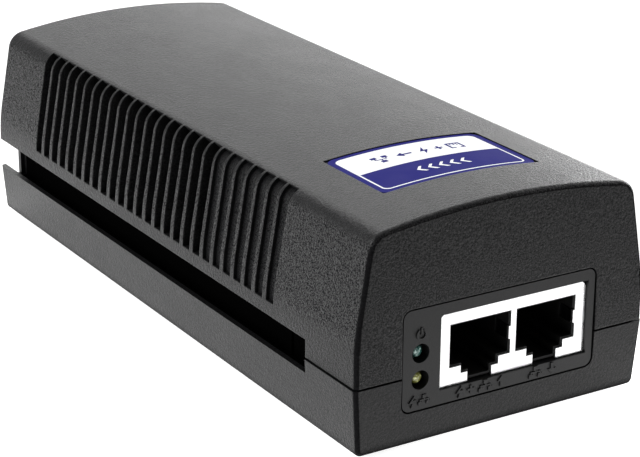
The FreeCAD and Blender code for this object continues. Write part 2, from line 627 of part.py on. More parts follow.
def lamp(z):
    barrel = rod_y(LAMP_X, z, LAMP_TIP_Y + LAMP_RADIUS, LAMP_BACK_Y, LAMP_RADIUS)
    dome = Part.makeSphere(LAMP_RADIUS, Vector(LAMP_X, LAMP_TIP_Y + LAMP_RADIUS, z))
    rim = rod_y(LAMP_X, z, LAMP_BACK_Y - 1.0, LAMP_BACK_Y, 1.85)
    return fuse_all([barrel, dome, rim])


def lamp_leads(z, drop_y):
    """Two leads of one lamp, straight back from it and then down into the board."""
    leads = []
    for offset in (-0.8, 0.8):
        x = LAMP_X + offset
        back = box((x - 0.25, x + 0.25), (LAMP_BACK_Y + CLEARANCE, drop_y + 0.25), (z - 0.25, z + 0.25))
        down = box((x - 0.25, x + 0.25), (drop_y - 0.25, drop_y + 0.25), (BOARD_TOP - 2.6, z + 0.25))
        leads.append(back.fuse(down).removeSplitter())
    return leads


LAMP_DROP_Y = {"lower": HOLDER_Y[1] + 1.2, "upper": HOLDER_Y[1] + 3.8}


def lamp_holder():
    holder = box((LAMP_X - 2.6, LAMP_X + 2.6), HOLDER_Y, (BOARD_TOP + CLEARANCE, LAMP_Z["upper"] + 2.6))
    cutters = []
    for z in LAMP_Z.values():
        cutters.append(rod_y(LAMP_X, z, -OUTSIDE, LAMP_BACK_Y + CLEARANCE, 1.95))
        cutters.append(box((LAMP_X - 1.15, LAMP_X + 1.15), (LAMP_BACK_Y - 1, HOLDER_Y[1] + 1),
                           (z - 0.4, z + 0.4)))
    return bored(holder, *cutters)


# ---- board and what stands on it -----------------------------------------------------------------
def circuit_board():
    board = rounded_box((-BOARD_HALF_WIDTH, BOARD_HALF_WIDTH), BOARD_Y,
                        (BOARD_TOP - BOARD_THICKNESS, BOARD_TOP), 2, 1.0)
    cutters = [disc(x, y, BOARD_TOP - 5, BOARD_TOP + 1, 1.45) for x, y in BOARD_SCREWS]
    for name, drop_y in LAMP_DROP_Y.items():
        for offset in (-0.8, 0.8):
            cutters.append(disc(LAMP_X + offset, drop_y, BOARD_TOP - 5, BOARD_TOP + 1, 0.45))
    return bored(board, *cutters)


def can(x, y, radius, height):
    """An electrolytic capacitor: a sleeve with a rolled neck near its foot and a dished top."""
    bottom = BOARD_TOP + CLEARANCE
    body = disc(x, y, bottom, bottom + height, radius)
    body = body.makeFillet(0.6, [e for e in body.Edges if e.Curve.TypeId == "Part::GeomCircle"])
    neck = Part.makeTorus(radius + 0.25, 0.5, Vector(x, y, bottom + 2.2))
    dish = disc(x, y, bottom + height - 0.3, bottom + height + 1, radius - 1.4)
    return bored(body, neck, dish)


def chip(x, y, size_x, size_y, height):
    """A moulded part with a row of flat legs along two sides."""
    bottom = BOARD_TOP + 0.25
    body = box((x - size_x / 2, x + size_x / 2), (y - size_y / 2, y + size_y / 2),
               (bottom, bottom + height))
    legs = []
    count = max(2, int(size_y / 1.27) - 1)
    for number in range(count):
        leg_y = y + (number - (count - 1) / 2) * 1.27
        legs.append(box((x - size_x / 2 - 0.9, x + size_x / 2 + 0.9), (leg_y - 0.2, leg_y + 0.2),
                        (BOARD_TOP + CLEARANCE, BOARD_TOP + 0.35)))
    return fuse_all([body] + legs)


def ring_coil(centre, axis, inner, outer, thickness):
    """A ring core with square-cut faces."""
    start = centre - axis * (thickness / 2)
    ring = Part.makeCylinder(outer, thickness, start, axis)
    return ring.cut(Part.makeCylinder(inner, thickness, start, axis))


def winding_sector(centre, axis, inner, outer, thickness, wire, arc, start_angle):
    """The turns on part of a ring core, as one sleeve round the core's section."""
    sleeve = ring_coil(centre, axis, inner - wire, outer + wire, thickness + 2 * wire)
    core = ring_coil(centre, axis, inner - CLEARANCE, outer + CLEARANCE, thickness + 2 * CLEARANCE)
    sleeve = sleeve.cut(core)
    side = axis.cross(Vector(0, 0, 1)) if abs(axis.z) < 0.5 else Vector(1, 0, 0)
    low, high = centre - axis * 20, centre + axis * 20
    page = Part.Face(Part.makePolygon([low, low + side * 40, high + side * 40, high, low]))
    wedge = page.revolve(centre, axis, arc)
    wedge.rotate(centre, axis, start_angle)
    return sleeve.common(wedge)


TRANSFORMER_X = (-13.0, 13.0)
TRANSFORMER_Y = (-9.0, 13.0)
TRANSFORMER_HEIGHT = 22.5
TRANSFORMER_LIFT = 3.2  # of the ferrite above the board
COIL_HALF_WIDTH = 9.3
CORE_YOKE = 4.0


def transformer_core():
    """Two ferrite halves that meet round the coil: side limbs, a middle limb and two yokes."""
    low, high = BOARD_TOP + TRANSFORMER_LIFT, BOARD_TOP + TRANSFORMER_HEIGHT
    block = box(TRANSFORMER_X, (-2.0, 6.0), (low, high))
    windows = [box(xs, (-10, 14), (low + CORE_YOKE, high - CORE_YOKE)) for xs in ((-9.6, -4.2), (4.2, 9.6))]
    return bored(block, *windows)


def transformer_bobbin():
    low = BOARD_TOP + CLEARANCE
    core_low, core_high = BOARD_TOP + TRANSFORMER_LIFT, BOARD_TOP + TRANSFORMER_HEIGHT
    xs = (-COIL_HALF_WIDTH, COIL_HALF_WIDTH)
    bottom = box(xs, TRANSFORMER_Y, (core_low + CORE_YOKE + 0.1, core_low + CORE_YOKE + 1.1))
    top = box(xs, (TRANSFORMER_Y[0] + 1.5, TRANSFORMER_Y[1] - 1.5),
              (core_high - CORE_YOKE - 1.1, core_high - CORE_YOKE - 0.1))
    tube = box((-5.4, 5.4), (-3.2, 7.2), (core_low + 4.5, core_high - 4.5))
    frame = fuse_all([bottom, top, tube])
    frame = frame.cut(box((-4.3, 4.3), (-2.1, 6.1), (core_low, core_high)))
    feet = [box(xs, ys, (low, core_low + CORE_YOKE + 0.6)) for ys in ((-9.0, -5.0), (9.0, 13.0))]
    return fuse_all([frame] + feet)


def transformer_winding():
    core_low, core_high = BOARD_TOP + TRANSFORMER_LIFT, BOARD_TOP + TRANSFORMER_HEIGHT
    zs = (core_low + CORE_YOKE + 1.15, core_high - CORE_YOKE - 1.15)
    coil = rounded_box((-9.2, 9.2), (-7.2, 11.2), zs, 2, 3.5)
    return coil.cut(box((-5.45, 5.45), (-3.25, 7.25), (zs[0] - 1, zs[1] + 1)))


HEATSINK_THICKNESS = 1.6
HEATSINKS = {"primary": ((-20.0, 0.0), 15.2), "secondary": ((-20.0, 8.0), -17.6)}
HEATSINK_HEIGHT = 24.0
TAB_OFFSET_Z = 17.0


def heatsink(name):
    """An upright aluminium plate with a folded foot and a fold along the top."""
    xs, y = HEATSINKS[name]
    bottom = BOARD_TOP + CLEARANCE
    plate = box(xs, (y, y + HEATSINK_THICKNESS), (bottom, bottom + HEATSINK_HEIGHT))
    fold = box(xs, (y - 4.0, y + HEATSINK_THICKNESS),
               (bottom + HEATSINK_HEIGHT - HEATSINK_THICKNESS, bottom + HEATSINK_HEIGHT))
    sink = fuse_all([plate, fold])
    hole_x = sum(xs) / 2
    return sink.cut(rod_y(hole_x, bottom + TAB_OFFSET_Z, y - 5, y + 5, 1.55))


def power_package(name):
    """A three-legged power part with its metal tab against the heatsink."""
    xs, plate_y = HEATSINKS[name]
    x = sum(xs) / 2
    y = plate_y + HEATSINK_THICKNESS + CLEARANCE
    bottom = BOARD_TOP + CLEARANCE
    body = box((x - 5, x + 5), (y, y + 4.4), (bottom + 4.0, bottom + 13.5))
    tab = box((x - 5, x + 5), (y, y + 1.3), (bottom + 13.4, bottom + 19.8))
    tab = tab.cut(rod_y(x, bottom + TAB_OFFSET_Z, y - 1, y + 5, 1.8))
    legs = [box((x + step - 0.4, x + step + 0.4), (y + 2.3, y + 2.8), (bottom, bottom + 4.1))
            for step in (-2.54, 0, 2.54)]
    return fuse_all([body, tab] + legs)


def heatsink_screws():
    screws = []
    for name, (xs, plate_y) in HEATSINKS.items():
        x, z = sum(xs) / 2, BOARD_TOP + CLEARANCE + TAB_OFFSET_Z
        tab_y = plate_y + HEATSINK_THICKNESS + CLEARANCE + 1.3 + CLEARANCE
        head = rod_y(x, z, tab_y, tab_y + 2.0, 2.7)
        shank = rod_y(x, z, plate_y - 2.5, tab_y, 1.5)
        screws.append(fuse_all([head, shank]))
    return Part.makeCompound(screws)


def bridge_rectifier():
    """A flat four-legged rectifier standing on its legs."""
    bottom = BOARD_TOP + CLEARANCE
    body = box((-18.5, -3.5), (24.2, 27.9), (bottom + 3, bottom + 14))
    body = body.makeFillet(0.5, edges_along(body, 1, lambda m: True))
    legs = [box((x - 0.5, x + 0.5), (25.7, 26.3), (bottom, bottom + 3.2))
            for x in (-16.8, -12.9, -9.1, -5.2)]
    return fuse_all([body] + legs)


LINE_CHOKE = (Vector(0, 39.0, BOARD_TOP + 8.6), Vector(1, 0, 0))


def line_choke_core():
    centre, axis = LINE_CHOKE
    return ring_coil(centre, axis, 3.6, 7.0, 5.4)


def line_choke_windings():
    centre, axis = LINE_CHOKE
    return Part.makeCompound([winding_sector(centre, axis, 3.6, 7.0, 5.4, 1.0, 130, start)
                              for start in (25, 205)])


OUTPUT_CHOKE = (Vector(12.6, -25.0, BOARD_TOP + 4.6), Vector(0, 0, 1))


def output_choke_core():
    centre, axis = OUTPUT_CHOKE
    return ring_coil(centre, axis, 3.0, 6.0, 6.0)


def output_choke_winding():
    centre, axis = OUTPUT_CHOKE
    return winding_sector(centre, axis, 3.0, 6.0, 6.0, 1.0, 320, 20)


def interference_capacitor():
    case = box((-15.5, -7.0), (30.0, 46.5), (BOARD_TOP + CLEARANCE, BOARD_TOP + 14.0))
    return case.makeFillet(0.4, case.Edges)


def safety_capacitor():
    """A coated ceramic disc, standing on edge."""
    disc_y = -6.0
    body = rod_y(17.2, BOARD_TOP + 5.6, disc_y - 1.8, disc_y + 1.8, 3.9)
    body = body.makeFillet(1.4, [e for e in body.Edges if e.Curve.TypeId == "Part::GeomCircle"])
    legs = [disc(17.2 + step, disc_y, BOARD_TOP + CLEARANCE, BOARD_TOP + 3.2, 0.35)
            for step in (-2.2, 2.2)]
    return fuse_all([body] + legs)


def thermistor():
    body = rod_y(15.0, BOARD_TOP + 6.2, 35.2, 38.4, 4.4)
    body = body.makeFillet(1.2, [e for e in body.Edges if e.Curve.TypeId == "Part::GeomCircle"])
    legs = [disc(15.0 + step, 36.8, BOARD_TOP + CLEARANCE, BOARD_TOP + 3.4, 0.4) for step in (-2.5, 2.5)]
    return fuse_all([body] + legs)


def input_fuse():
    body = box((6.0, 10.2), (38.8, 46.8), (BOARD_TOP + 0.6, BOARD_TOP + 8.4))
    body = body.makeFillet(0.6, body.Edges)
    legs = [disc(8.1, y, BOARD_TOP + CLEARANCE, BOARD_TOP + 1.4, 0.35) for y in (40.3, 45.3)]
    return fuse_all([body] + legs)


def insulating_sheet():
    """A folded plastic sheet between the board and the case: a floor and two upright sides."""
    outer = box((-22.3, 22.3), (-57.0, 53.5), (BASE_Z + WALL + 0.3, BASE_Z + 35.0))
    sheet = outer.cut(box((-22.0, 22.0), (-OUTSIDE, OUTSIDE), (BASE_Z + WALL + 0.6, OUTSIDE)))
    return bored(sheet, *[disc(x, y, 0, 10, 3.0) for x, y in BOARD_SCREWS])


# ---- mains inlet ---------------------------------------------------------------------------------
def ac_inlet():
    body = inlet_outline(INLET_HALF_SIZE, INLET_CORNER_CUT, *INLET_Y)
    half_x, half_z = INLET_HALF_SIZE
    flange_y = (REAR_PANEL_Y[0] - 2.0, REAR_PANEL_Y[0] - CLEARANCE)
    flange = inlet_outline((half_x + 1.6, half_z), INLET_CORNER_CUT, *flange_y)
    cavity = inlet_outline(INLET_CAVITY_HALF_SIZE, INLET_CAVITY_CUT,
                           INLET_Y[1] - INLET_CAVITY_DEPTH, OUTSIDE)
    holes = [inlet_pin(name, CLEARANCE) for name in INLET_PINS]
    return bored(body.fuse(flange), cavity, *holes).removeSplitter()


def inlet_pin(name, grow=0.0):
    """One flat pin, from inside the inlet's cavity through its back to a solder tab."""
    x, z = INLET_PINS[name]
    z += INLET_Z
    blade_y = (INLET_Y[0] - 4.0, INLET_Y[1] - 2.0)
    half_x, half_z = 1.0 + grow, 2.0 + grow
    return box((x - half_x, x + half_x), (blade_y[0], blade_y[1]), (z - half_z, z + half_z))


def inlet_blade(name):
    """A pin with its tip chamfered, as it is in use."""
    blade = inlet_pin(name)
    tip = [e for e in blade.Edges if all(v.Point.y > INLET_Y[1] - 2.01 for v in e.Vertexes)]
    return blade.makeChamfer(0.5, tip)


def wire(name):
    """A short insulated lead that bows out on its way from a solder tab down to the board."""
    x, z = INLET_PINS[name]
    top = INLET_Z + z - 2.0 - CLEARANCE
    bottom = BOARD_TOP + CLEARANCE
    y = INLET_Y[0] - 2.4
    bow = 1.6
    middle = (top + bottom) / 2
    arc = Part.Arc(Vector(x, y, top), Vector(x, y - bow, middle), Vector(x, y, bottom))
    path = Part.Wire([arc.toShape()])
    edge = path.Edges[0]
    start_way = edge.tangentAt(edge.FirstParameter)
    ring = Part.Wire([Part.Circle(Vector(x, y, top), start_way, WIRE_RADIUS).toShape()])
    lead = path.makePipeShell([ring], True, True)
    return lead.common(box((-30, 30), (0, 80), (bottom, top)))


# ---- fasteners, feet and labels ------------------------------------------------------------------
def cross_slot(x, y, z_low, z_high, half_length):
    """The two crossing slots that a screwdriver goes into."""
    return [box((x - half_length, x + half_length), (y - 0.4, y + 0.4), (z_low, z_high)),
            box((x - 0.4, x + 0.4), (y - half_length, y + half_length), (z_low, z_high))]


def case_screws():
    screws = []
    for x, y in CASE_SCREWS:
        head_low = SCREW_SEAT_Z - 2.1
        head = disc(x, y, head_low, SCREW_SEAT_Z - CLEARANCE, CASE_SCREW_HEAD_RADIUS)
        head = head.makeFillet(0.7, [e for e in head.Edges if e.CenterOfMass.z < head_low + 0.01
                                     and e.Curve.TypeId == "Part::GeomCircle"])
        shank = disc(x, y, SCREW_SEAT_Z - 0.5, PARTING_Z + 11, CASE_SCREW_RADIUS)
        screw = fuse_all([head, shank])
        screws.append(bored(screw, *cross_slot(x, y, head_low - 1, head_low + 1.2, 1.6)))
    return Part.makeCompound(screws)


def board_screws():
    screws = []
    for x, y in BOARD_SCREWS:
        low = BOARD_TOP + CLEARANCE
        head = disc(x, y, low, low + 1.7, 2.3)
        head = head.makeFillet(0.6, [e for e in head.Edges if e.CenterOfMass.z > low + 1.6
                                     and e.Curve.TypeId == "Part::GeomCircle"])
        shank = disc(x, y, BASE_Z + 2.6, low + 0.5, BOARD_SCREW_RADIUS)
        screws.append(bored(fuse_all([head, shank]), *cross_slot(x, y, low + 0.8, low + 3, 1.3)))
    return Part.makeCompound(screws)


def rubber_feet():
    feet = []
    for x, y in FEET:
        pad = disc(x, y, 0.0, BASE_Z + FOOT_RECESS - 0.02, FOOT_RADIUS)
        rim = [e for e in pad.Edges if e.CenterOfMass.z < 0.01 and e.Curve.TypeId == "Part::GeomCircle"]
        feet.append(pad.makeFillet(0.35, rim))
    return Part.makeCompound(feet)


def top_label():
    xs = (LABEL_X[0] + LABEL_GAP, LABEL_X[1] - LABEL_GAP)
    ys = (LABEL_Y[0] + LABEL_GAP, LABEL_Y[1] - LABEL_GAP)
    depth = LABEL_RECESS - LABEL_THICKNESS - 0.01
    return label_curve(xs, ys, depth, LABEL_THICKNESS, LABEL_CORNER)


def rating_label():
    half_x, half_y = RATING_HALF_SIZE
    top = BASE_Z + RATING_RECESS - 0.01
    return rounded_box((-half_x, half_x), (-half_y, half_y), (top - 0.15, top), 2, 1.7)


CONTROL_CHIPS = [(17.2, -36.5), (-17.6, -37.0), (-17.0, 7.0)]


def parts():
    out, into = port_centres()["out"], port_centres()["in"]
    lower_leads = lamp_leads(LAMP_Z["lower"], LAMP_DROP_Y["lower"])
    upper_leads = lamp_leads(LAMP_Z["upper"], LAMP_DROP_Y["upper"])
    return {
        "upper_shell": upper_shell(),
        "lower_shell": lower_shell(),
        "port_panel": port_panel(),
        "rear_panel": rear_panel(),
        "top_label": top_label(),
        "rating_label": rating_label(),
        "rubber_feet": rubber_feet(),
        "case_screws": case_screws(),
        "board_screws": board_screws(),
        "circuit_board": circuit_board(),
        "jack_shield": jack_shield(),
        "jack_insert": jack_insert(),
        "contacts_out": contact_row(out),
        "contacts_in": contact_row(into),
        "contact_tails": contact_tails(),
        "lamp_power": lamp(LAMP_Z["upper"]),
        "lamp_output": lamp(LAMP_Z["lower"]),
        "lamp_leads": Part.makeCompound(lower_leads + upper_leads),
        "lamp_holder": lamp_holder(),
        "data_transformers": Part.makeCompound([chip(x, -40.5, 11.5, 12.0, 5.6) for x in (-7.4, 7.4)]),
        "control_chips": Part.makeCompound([chip(x, y, 3.9, 5.0, 1.5) for x, y in CONTROL_CHIPS]),
        "optocoupler": chip(17.2, 6.0, 5.0, 4.6, 3.4),
        "output_capacitors": Part.makeCompound([can(x, -26.6, 5.0, 16.0) for x in (-14.2, -2.8)]),
        "output_choke_core": output_choke_core(),
        "output_choke_winding": output_choke_winding(),
        "transformer_core": transformer_core(),
        "transformer_bobbin": transformer_bobbin(),
        "transformer_winding": transformer_winding(),
        "primary_heatsink": heatsink("primary"),
        "secondary_heatsink": heatsink("secondary"),
        "switching_transistor": power_package("primary"),
        "output_rectifier": power_package("secondary"),
        "heatsink_screws": heatsink_screws(),
        "bulk_capacitor": can(11.2, 25.0, 8.9, 26.0),
        "bridge_rectifier": bridge_rectifier(),
        "line_choke_core": line_choke_core(),
        "line_choke_windings": line_choke_windings(),
        "interference_capacitor": interference_capacitor(),
        "safety_capacitor": safety_capacitor(),
        "thermistor": thermistor(),
        "input_fuse": input_fuse(),
        "insulating_sheet": insulating_sheet(),
        "ac_inlet": ac_inlet(),
        "line_pin": inlet_blade("line"),
        "neutral_pin": inlet_blade("neutral"),
        "earth_pin": inlet_blade("earth"),
        "line_wire": wire("line"),
        "neutral_wire": wire("neutral"),
        "earth_wire": wire("earth"),
    }


def main():
    os.makedirs("parts", exist_ok=True)
    for name, shape in parts().items():
        shape.exportStep(f"parts/{name}.step")
        solids = len(shape.Solids)
        print(f"{name}: {solids} solid(s), {shape.Volume:.1f} mm3, valid {shape.isValid()}")


main()
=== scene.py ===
"""Looks of the power injector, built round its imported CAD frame."""

import math

import bmesh
import bpy
from mathutils import Matrix, Vector


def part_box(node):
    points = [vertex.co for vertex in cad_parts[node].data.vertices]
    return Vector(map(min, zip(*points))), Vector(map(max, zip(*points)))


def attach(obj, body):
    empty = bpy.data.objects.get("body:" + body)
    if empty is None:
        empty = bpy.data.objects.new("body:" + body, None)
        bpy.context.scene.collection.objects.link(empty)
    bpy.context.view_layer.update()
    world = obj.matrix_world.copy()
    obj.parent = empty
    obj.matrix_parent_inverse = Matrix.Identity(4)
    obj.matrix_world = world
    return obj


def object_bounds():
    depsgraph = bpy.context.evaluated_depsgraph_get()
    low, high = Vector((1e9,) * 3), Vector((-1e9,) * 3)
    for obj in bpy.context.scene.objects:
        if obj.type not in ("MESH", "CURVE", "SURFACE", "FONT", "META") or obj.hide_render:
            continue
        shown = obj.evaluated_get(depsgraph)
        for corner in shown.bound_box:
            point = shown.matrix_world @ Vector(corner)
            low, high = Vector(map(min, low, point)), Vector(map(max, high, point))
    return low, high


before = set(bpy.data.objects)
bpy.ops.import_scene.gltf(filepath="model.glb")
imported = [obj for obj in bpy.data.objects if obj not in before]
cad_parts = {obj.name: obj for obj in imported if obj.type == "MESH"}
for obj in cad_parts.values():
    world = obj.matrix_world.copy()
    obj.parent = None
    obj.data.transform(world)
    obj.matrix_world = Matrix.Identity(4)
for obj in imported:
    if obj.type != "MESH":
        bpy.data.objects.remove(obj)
cad_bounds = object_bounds()

MM = 0.001


# ---- camera ----------------------------------------------------------------------------
CAMERA_PLACE = Vector((-203.9, -340.48, 161.47)) * MM
CAMERA_AZIMUTH = math.radians(-31.83)
CAMERA_ELEVATION = math.radians(20.48)
CAMERA_ROLL = math.radians(0.44)
CAMERA_LENS = 119.11
SENSOR_WIDTH = 36.0
CLIP_NEAR, CLIP_FAR = 0.01, 50.0  # metres


def add_camera():
    a, e, r = CAMERA_AZIMUTH, CAMERA_ELEVATION, CAMERA_ROLL
    back = Vector((math.sin(a) * math.cos(e), -math.cos(a) * math.cos(e), math.sin(e)))
    level_right = Vector((0, 0, 1)).cross(back).normalized()
    level_up = back.cross(level_right)
    right = math.cos(r) * level_right + math.sin(r) * level_up
    up = math.cos(r) * level_up - math.sin(r) * level_right
    data = bpy.data.cameras.new("camera")
    data.lens = CAMERA_LENS
    data.sensor_width = SENSOR_WIDTH
    data.clip_start = CLIP_NEAR
    data.clip_end = CLIP_FAR
    camera = bpy.data.objects.new("camera", data)
    turn = Matrix((right, up, back)).transposed()
    camera.matrix_world = Matrix.Translation(CAMERA_PLACE) @ turn.to_4x4()
    bpy.context.scene.collection.objects.link(camera)
    bpy.context.scene.camera = camera


# ---- materials: the node helper --------------------------------------------------------
EDGE_BLUR = 0.05  # millimetres over which a material changes at a height
WAVE_PERIOD = 0.31416  # the width of one band of a wave texture at scale 1
BEVEL_SAMPLES = 6


class Graph:
    """A material's node tree. Sizes are in millimetres of the object's own frame."""

    def __init__(self, name, roughness=0.5, specular=0.5, metallic=0.0, coat=0.0, ior=1.5):
        self.material = bpy.data.materials.new(name)
        self.material.use_nodes = True
        self.tree = self.material.node_tree
        self.shader = self.tree.nodes["Principled BSDF"]
        self.place = self.tree.nodes.new("ShaderNodeTexCoord").outputs["Object"]
        self.set("Roughness", roughness)
        self.set("Specular IOR Level", specular)
        self.set("Metallic", metallic)
        self.set("Coat Weight", coat)
        self.set("IOR", ior)

    def set(self, name, value):
        self.plug(self.shader.inputs[name], value)

    def plug(self, socket, value):
        if isinstance(value, bpy.types.NodeSocket):
            self.tree.links.new(value, socket)
        elif isinstance(value, tuple) and len(value) == 3 and socket.type == "RGBA":
            socket.default_value = (*value, 1.0)
        else:
            socket.default_value = value

    def node(self, kind, inputs, **settings):
        made = self.tree.nodes.new("ShaderNode" + kind)
        for name, value in settings.items():
            setattr(made, name, value)
        for name, value in inputs.items():
            self.plug(made.inputs[name], value)
        return made

    def stretched(self, x=1.0, y=1.0, z=1.0, centre=(0, 0, 0)):
        """The place in the frame measured from a centre, and squeezed along each axis."""
        squeeze = (x, y, z)
        shift = tuple(-c * s for c, s in zip(centre, squeeze))
        return self.node("Mapping", {0: self.place, 1: shift, 3: squeeze}).outputs[0]

    def noise(self, size, detail=2.0, rough=0.5, at=None):
        inputs = {"Vector": at or self.place, "Scale": 1 / (size * MM), "Detail": detail,
                  "Roughness": rough}
        return self.node("TexNoise", inputs).outputs["Fac"]

    def cells(self, size, feature, metric="EUCLIDEAN"):
        """The distance pattern of a cell texture."""
        inputs = {"Vector": self.place, "Scale": 1 / (size * MM)}
        made = self.node("TexVoronoi", inputs, feature=feature, distance=metric)
        return made.outputs["Distance"]

    def bands(self, size, axis):
        """Even stripes across an axis, each size wide."""
        inputs = {"Vector": self.place, "Scale": WAVE_PERIOD / (size * MM)}
        made = self.node("TexWave", inputs, wave_type="BANDS", bands_direction=axis)
        return made.outputs["Fac"]

    def math(self, operation, a, b=0.0, c=0.0):
        return self.node("Math", {0: a, 1: b, 2: c}, operation=operation).outputs[0]

    def part(self, axis, vector=None):
        return self.node("SeparateXYZ", {0: vector or self.place}).outputs[axis]

    def normal_part(self, axis):
        return self.part(axis, self.node("NewGeometry", {}).outputs["Normal"])

    def ease(self, value, start, end, low=0.0, high=1.0):
        """The value's smooth climb from start to end, as low to high."""
        inputs = {"Value": value, "From Min": start, "From Max": end, "To Min": low,
                  "To Max": high}
        return self.node("MapRange", inputs, interpolation_type="SMOOTHSTEP").outputs["Result"]

    def mix(self, amount, a, b):
        """Colour a where the amount is nought, and b where it is one."""
        made = self.node("Mix", {0: amount, 6: a, 7: b}, data_type="RGBA")
        return made.outputs[2]

    def above(self, height):
        """One above a height in the frame, nought below it."""
        return self.ease(self.part("Z"), (height - EDGE_BLUR) * MM, (height + EDGE_BLUR) * MM)

    def product(self, first, *others):
        for other in others:
            first = self.math("MULTIPLY", first, other)
        return first

    def bump(self, *layers, edge=0.0):
        """Relief from (height, depth) layers, one on top of the other.

        Depths are in millimetres, and edge is the radius that sharp edges are softened to.
        """
        normal = None
        if edge:
            bevel = self.node("Bevel", {"Radius": edge * MM}, samples=BEVEL_SAMPLES)
            normal = bevel.outputs["Normal"]
        for height, depth in layers:
            inputs = {"Height": height, "Distance": depth * MM, "Strength": 1.0}
            if normal is not None:
                inputs["Normal"] = normal
            normal = self.node("Bump", inputs).outputs["Normal"]
        self.set("Normal", normal)


# ---- materials: plastics ---------------------------------------------------------------
CLOUD_SIZE = 14.0  # millimetres
HANDLING_SIZE = 4.5
CLOUD_SPREAD = 0.1  # how far clouds lighten and darken the colour
CLOUD_SHARE = 0.3  # of the colour, with grain taking the rest
GLOSS_SPREAD = 0.02
PIT_SIZE, PIT_DEPTH = 1.7, 0.6  # of the grain's own


def tinted(colour, factor):
    return tuple(min(1.0, c * factor) for c in colour)


def mould_grain(g, colour, grain, depth, roughness, speckle_and_pit_shade, edge=0.0):
    """Gives a plastic its spark-eroded grain.

    Returns its colour, painted darker in the pits and lighter on the peaks of the grain as
    painted shade, and its roughness.
    """
    grit = g.noise(grain, detail=3.0, rough=0.62)
    cloud = g.noise(CLOUD_SIZE, detail=3.0, rough=0.6)
    handling = g.noise(HANDLING_SIZE, detail=4.0, rough=0.7, at=g.stretched(1.0, 0.45, 1.0))
    # painted shade: the colour follows the grain's relief, darker in its pits and lighter on its
    # peaks
    body = g.mix(g.ease(grit, 0.36, 0.64), tinted(colour, 1 - speckle_and_pit_shade),
                 tinted(colour, 1 + speckle_and_pit_shade))
    shade = g.mix(g.ease(cloud, 0.35, 0.65), tinted(colour, 1 - CLOUD_SPREAD),
                  tinted(colour, 1 + CLOUD_SPREAD))
    tone = g.math("ADD", g.math("MULTIPLY", cloud, 0.5), g.math("MULTIPLY", handling, 0.5))
    pits = g.cells(grain * PIT_SIZE, feature="SMOOTH_F1")
    g.bump((grit, depth), (pits, depth * PIT_DEPTH), edge=edge)
    gloss = g.ease(tone, 0.36, 0.64, roughness - GLOSS_SPREAD, roughness + GLOSS_SPREAD)
    return g.mix(CLOUD_SHARE, body, shade), gloss


def moulded(name, colour, grain, depth, roughness, specular, speckle_and_pit_shade):
    """Plain moulded plastic with a fine grain."""
    g = Graph(name, specular=specular)
    body, gloss = mould_grain(g, colour, grain, depth, roughness, speckle_and_pit_shade)
    g.set("Base Color", body)
    g.set("Roughness", gloss)
    return g.material


BLACK = (0.0085, 0.0085, 0.009)
CASE_GRAIN = 0.3
CASE_SPECKLE_AND_PIT_SHADE = 0.35
SPARKLE_SIZE = 0.9  # of the grain's own
EDGE_POLISH = 0.12  # how much smoother the mould is in its rounded upright corners
CORNER_BAND = (70.5, 71.1)  # the distances from the middle over which a corner begins
# the block round both channels, painted near black and without gloss inside as painted shade:
# half its width, half its length, its bottom and its top
CHANNEL = (29.0, 70.5, 8.0, 18.2)
CHANNEL_BLUR = 0.4
CHANNEL_PAINTED_SHADE = (0.0012, 0.0012, 0.0012)
SLOT_REACH = 2.5  # how far a neighbouring wall takes gloss from the floor of a blind slot, as painted shade
SLOT_SAMPLES = 6


def case_plastic(name, depth, roughness, specular, sparkle_depth, edge=0.0):
    """The shells' black plastic, with sparkle in its gloss.

    The gloss is missing in the channels, the blind slots and the rounded upright corners, as
    painted shade; the channels are also painted near black, and the corners get a painted dark
    band.
    """
    g = Graph(name, specular=specular)
    body, gloss = mould_grain(g, BLACK, CASE_GRAIN, depth, roughness, CASE_SPECKLE_AND_PIT_SHADE, edge)
    half_x, half_y, bottom, top = CHANNEL
    outside = g.math("ADD", g.above(top), g.math("SUBTRACT", 1.0, g.above(bottom)))
    for axis, half in (("X", half_x), ("Y", half_y)):
        place = g.math("ABSOLUTE", g.part(axis))
        beyond = g.ease(place, (half - CHANNEL_BLUR) * MM, half * MM)
        outside = g.math("MAXIMUM", outside, beyond)
    # painted shade: inside the channel block the colour is painted near black
    g.set("Base Color", g.mix(outside, CHANNEL_PAINTED_SHADE, body))
    steep = {axis: g.math("ABSOLUTE", g.normal_part(axis)) for axis in ("X", "Y", "Z")}
    flattest = g.math("MAXIMUM", g.math("MAXIMUM", steep["X"], steep["Y"]), steep["Z"])
    # painted shade: this corner mask also takes the gloss out of the rounded upright corners at
    # both ends, painting a dark band down each of them
    at_end = g.ease(g.math("ABSOLUTE", g.part("Y")), *(y * MM for y in CORNER_BAND))
    corner = g.product(at_end, g.ease(flattest, 0.96, 0.998, 1.0, 0.0),
                       g.ease(steep["Z"], 0.15, 0.4, 1.0, 0.2), g.ease(steep["Y"], 0.15, 0.45))
    g.set("Roughness", g.math("SUBTRACT", gloss, g.math("MULTIPLY", corner, EDGE_POLISH)))
    grit = g.noise(CASE_GRAIN * SPARKLE_SIZE)
    glitter = g.product(g.ease(grit, 0.41, 0.59, -sparkle_depth, sparkle_depth),
                        g.ease(steep["Z"], 0.03, 0.12, 0.45, 1.0),  # less on upright walls
                        g.ease(steep["Z"], 0.3, 0.7, 1.0, 0.3))  # and less on the top
    # painted shade: ambient occlusion takes the gloss from hollows such as the floors of the
    # blind slots
    painted_slot_shade = g.node("AmbientOcclusion", {"Distance": SLOT_REACH * MM}, samples=SLOT_SAMPLES)
    open_gloss = g.product(outside, g.math("SUBTRACT", 1.0, corner),
                           g.ease(painted_slot_shade.outputs["AO"], 0.75, 1.0, 0.05, 1.0))
    g.set("Specular IOR Level", g.product(open_gloss, g.math("ADD", 1.0, glitter), specular))
    return g.material


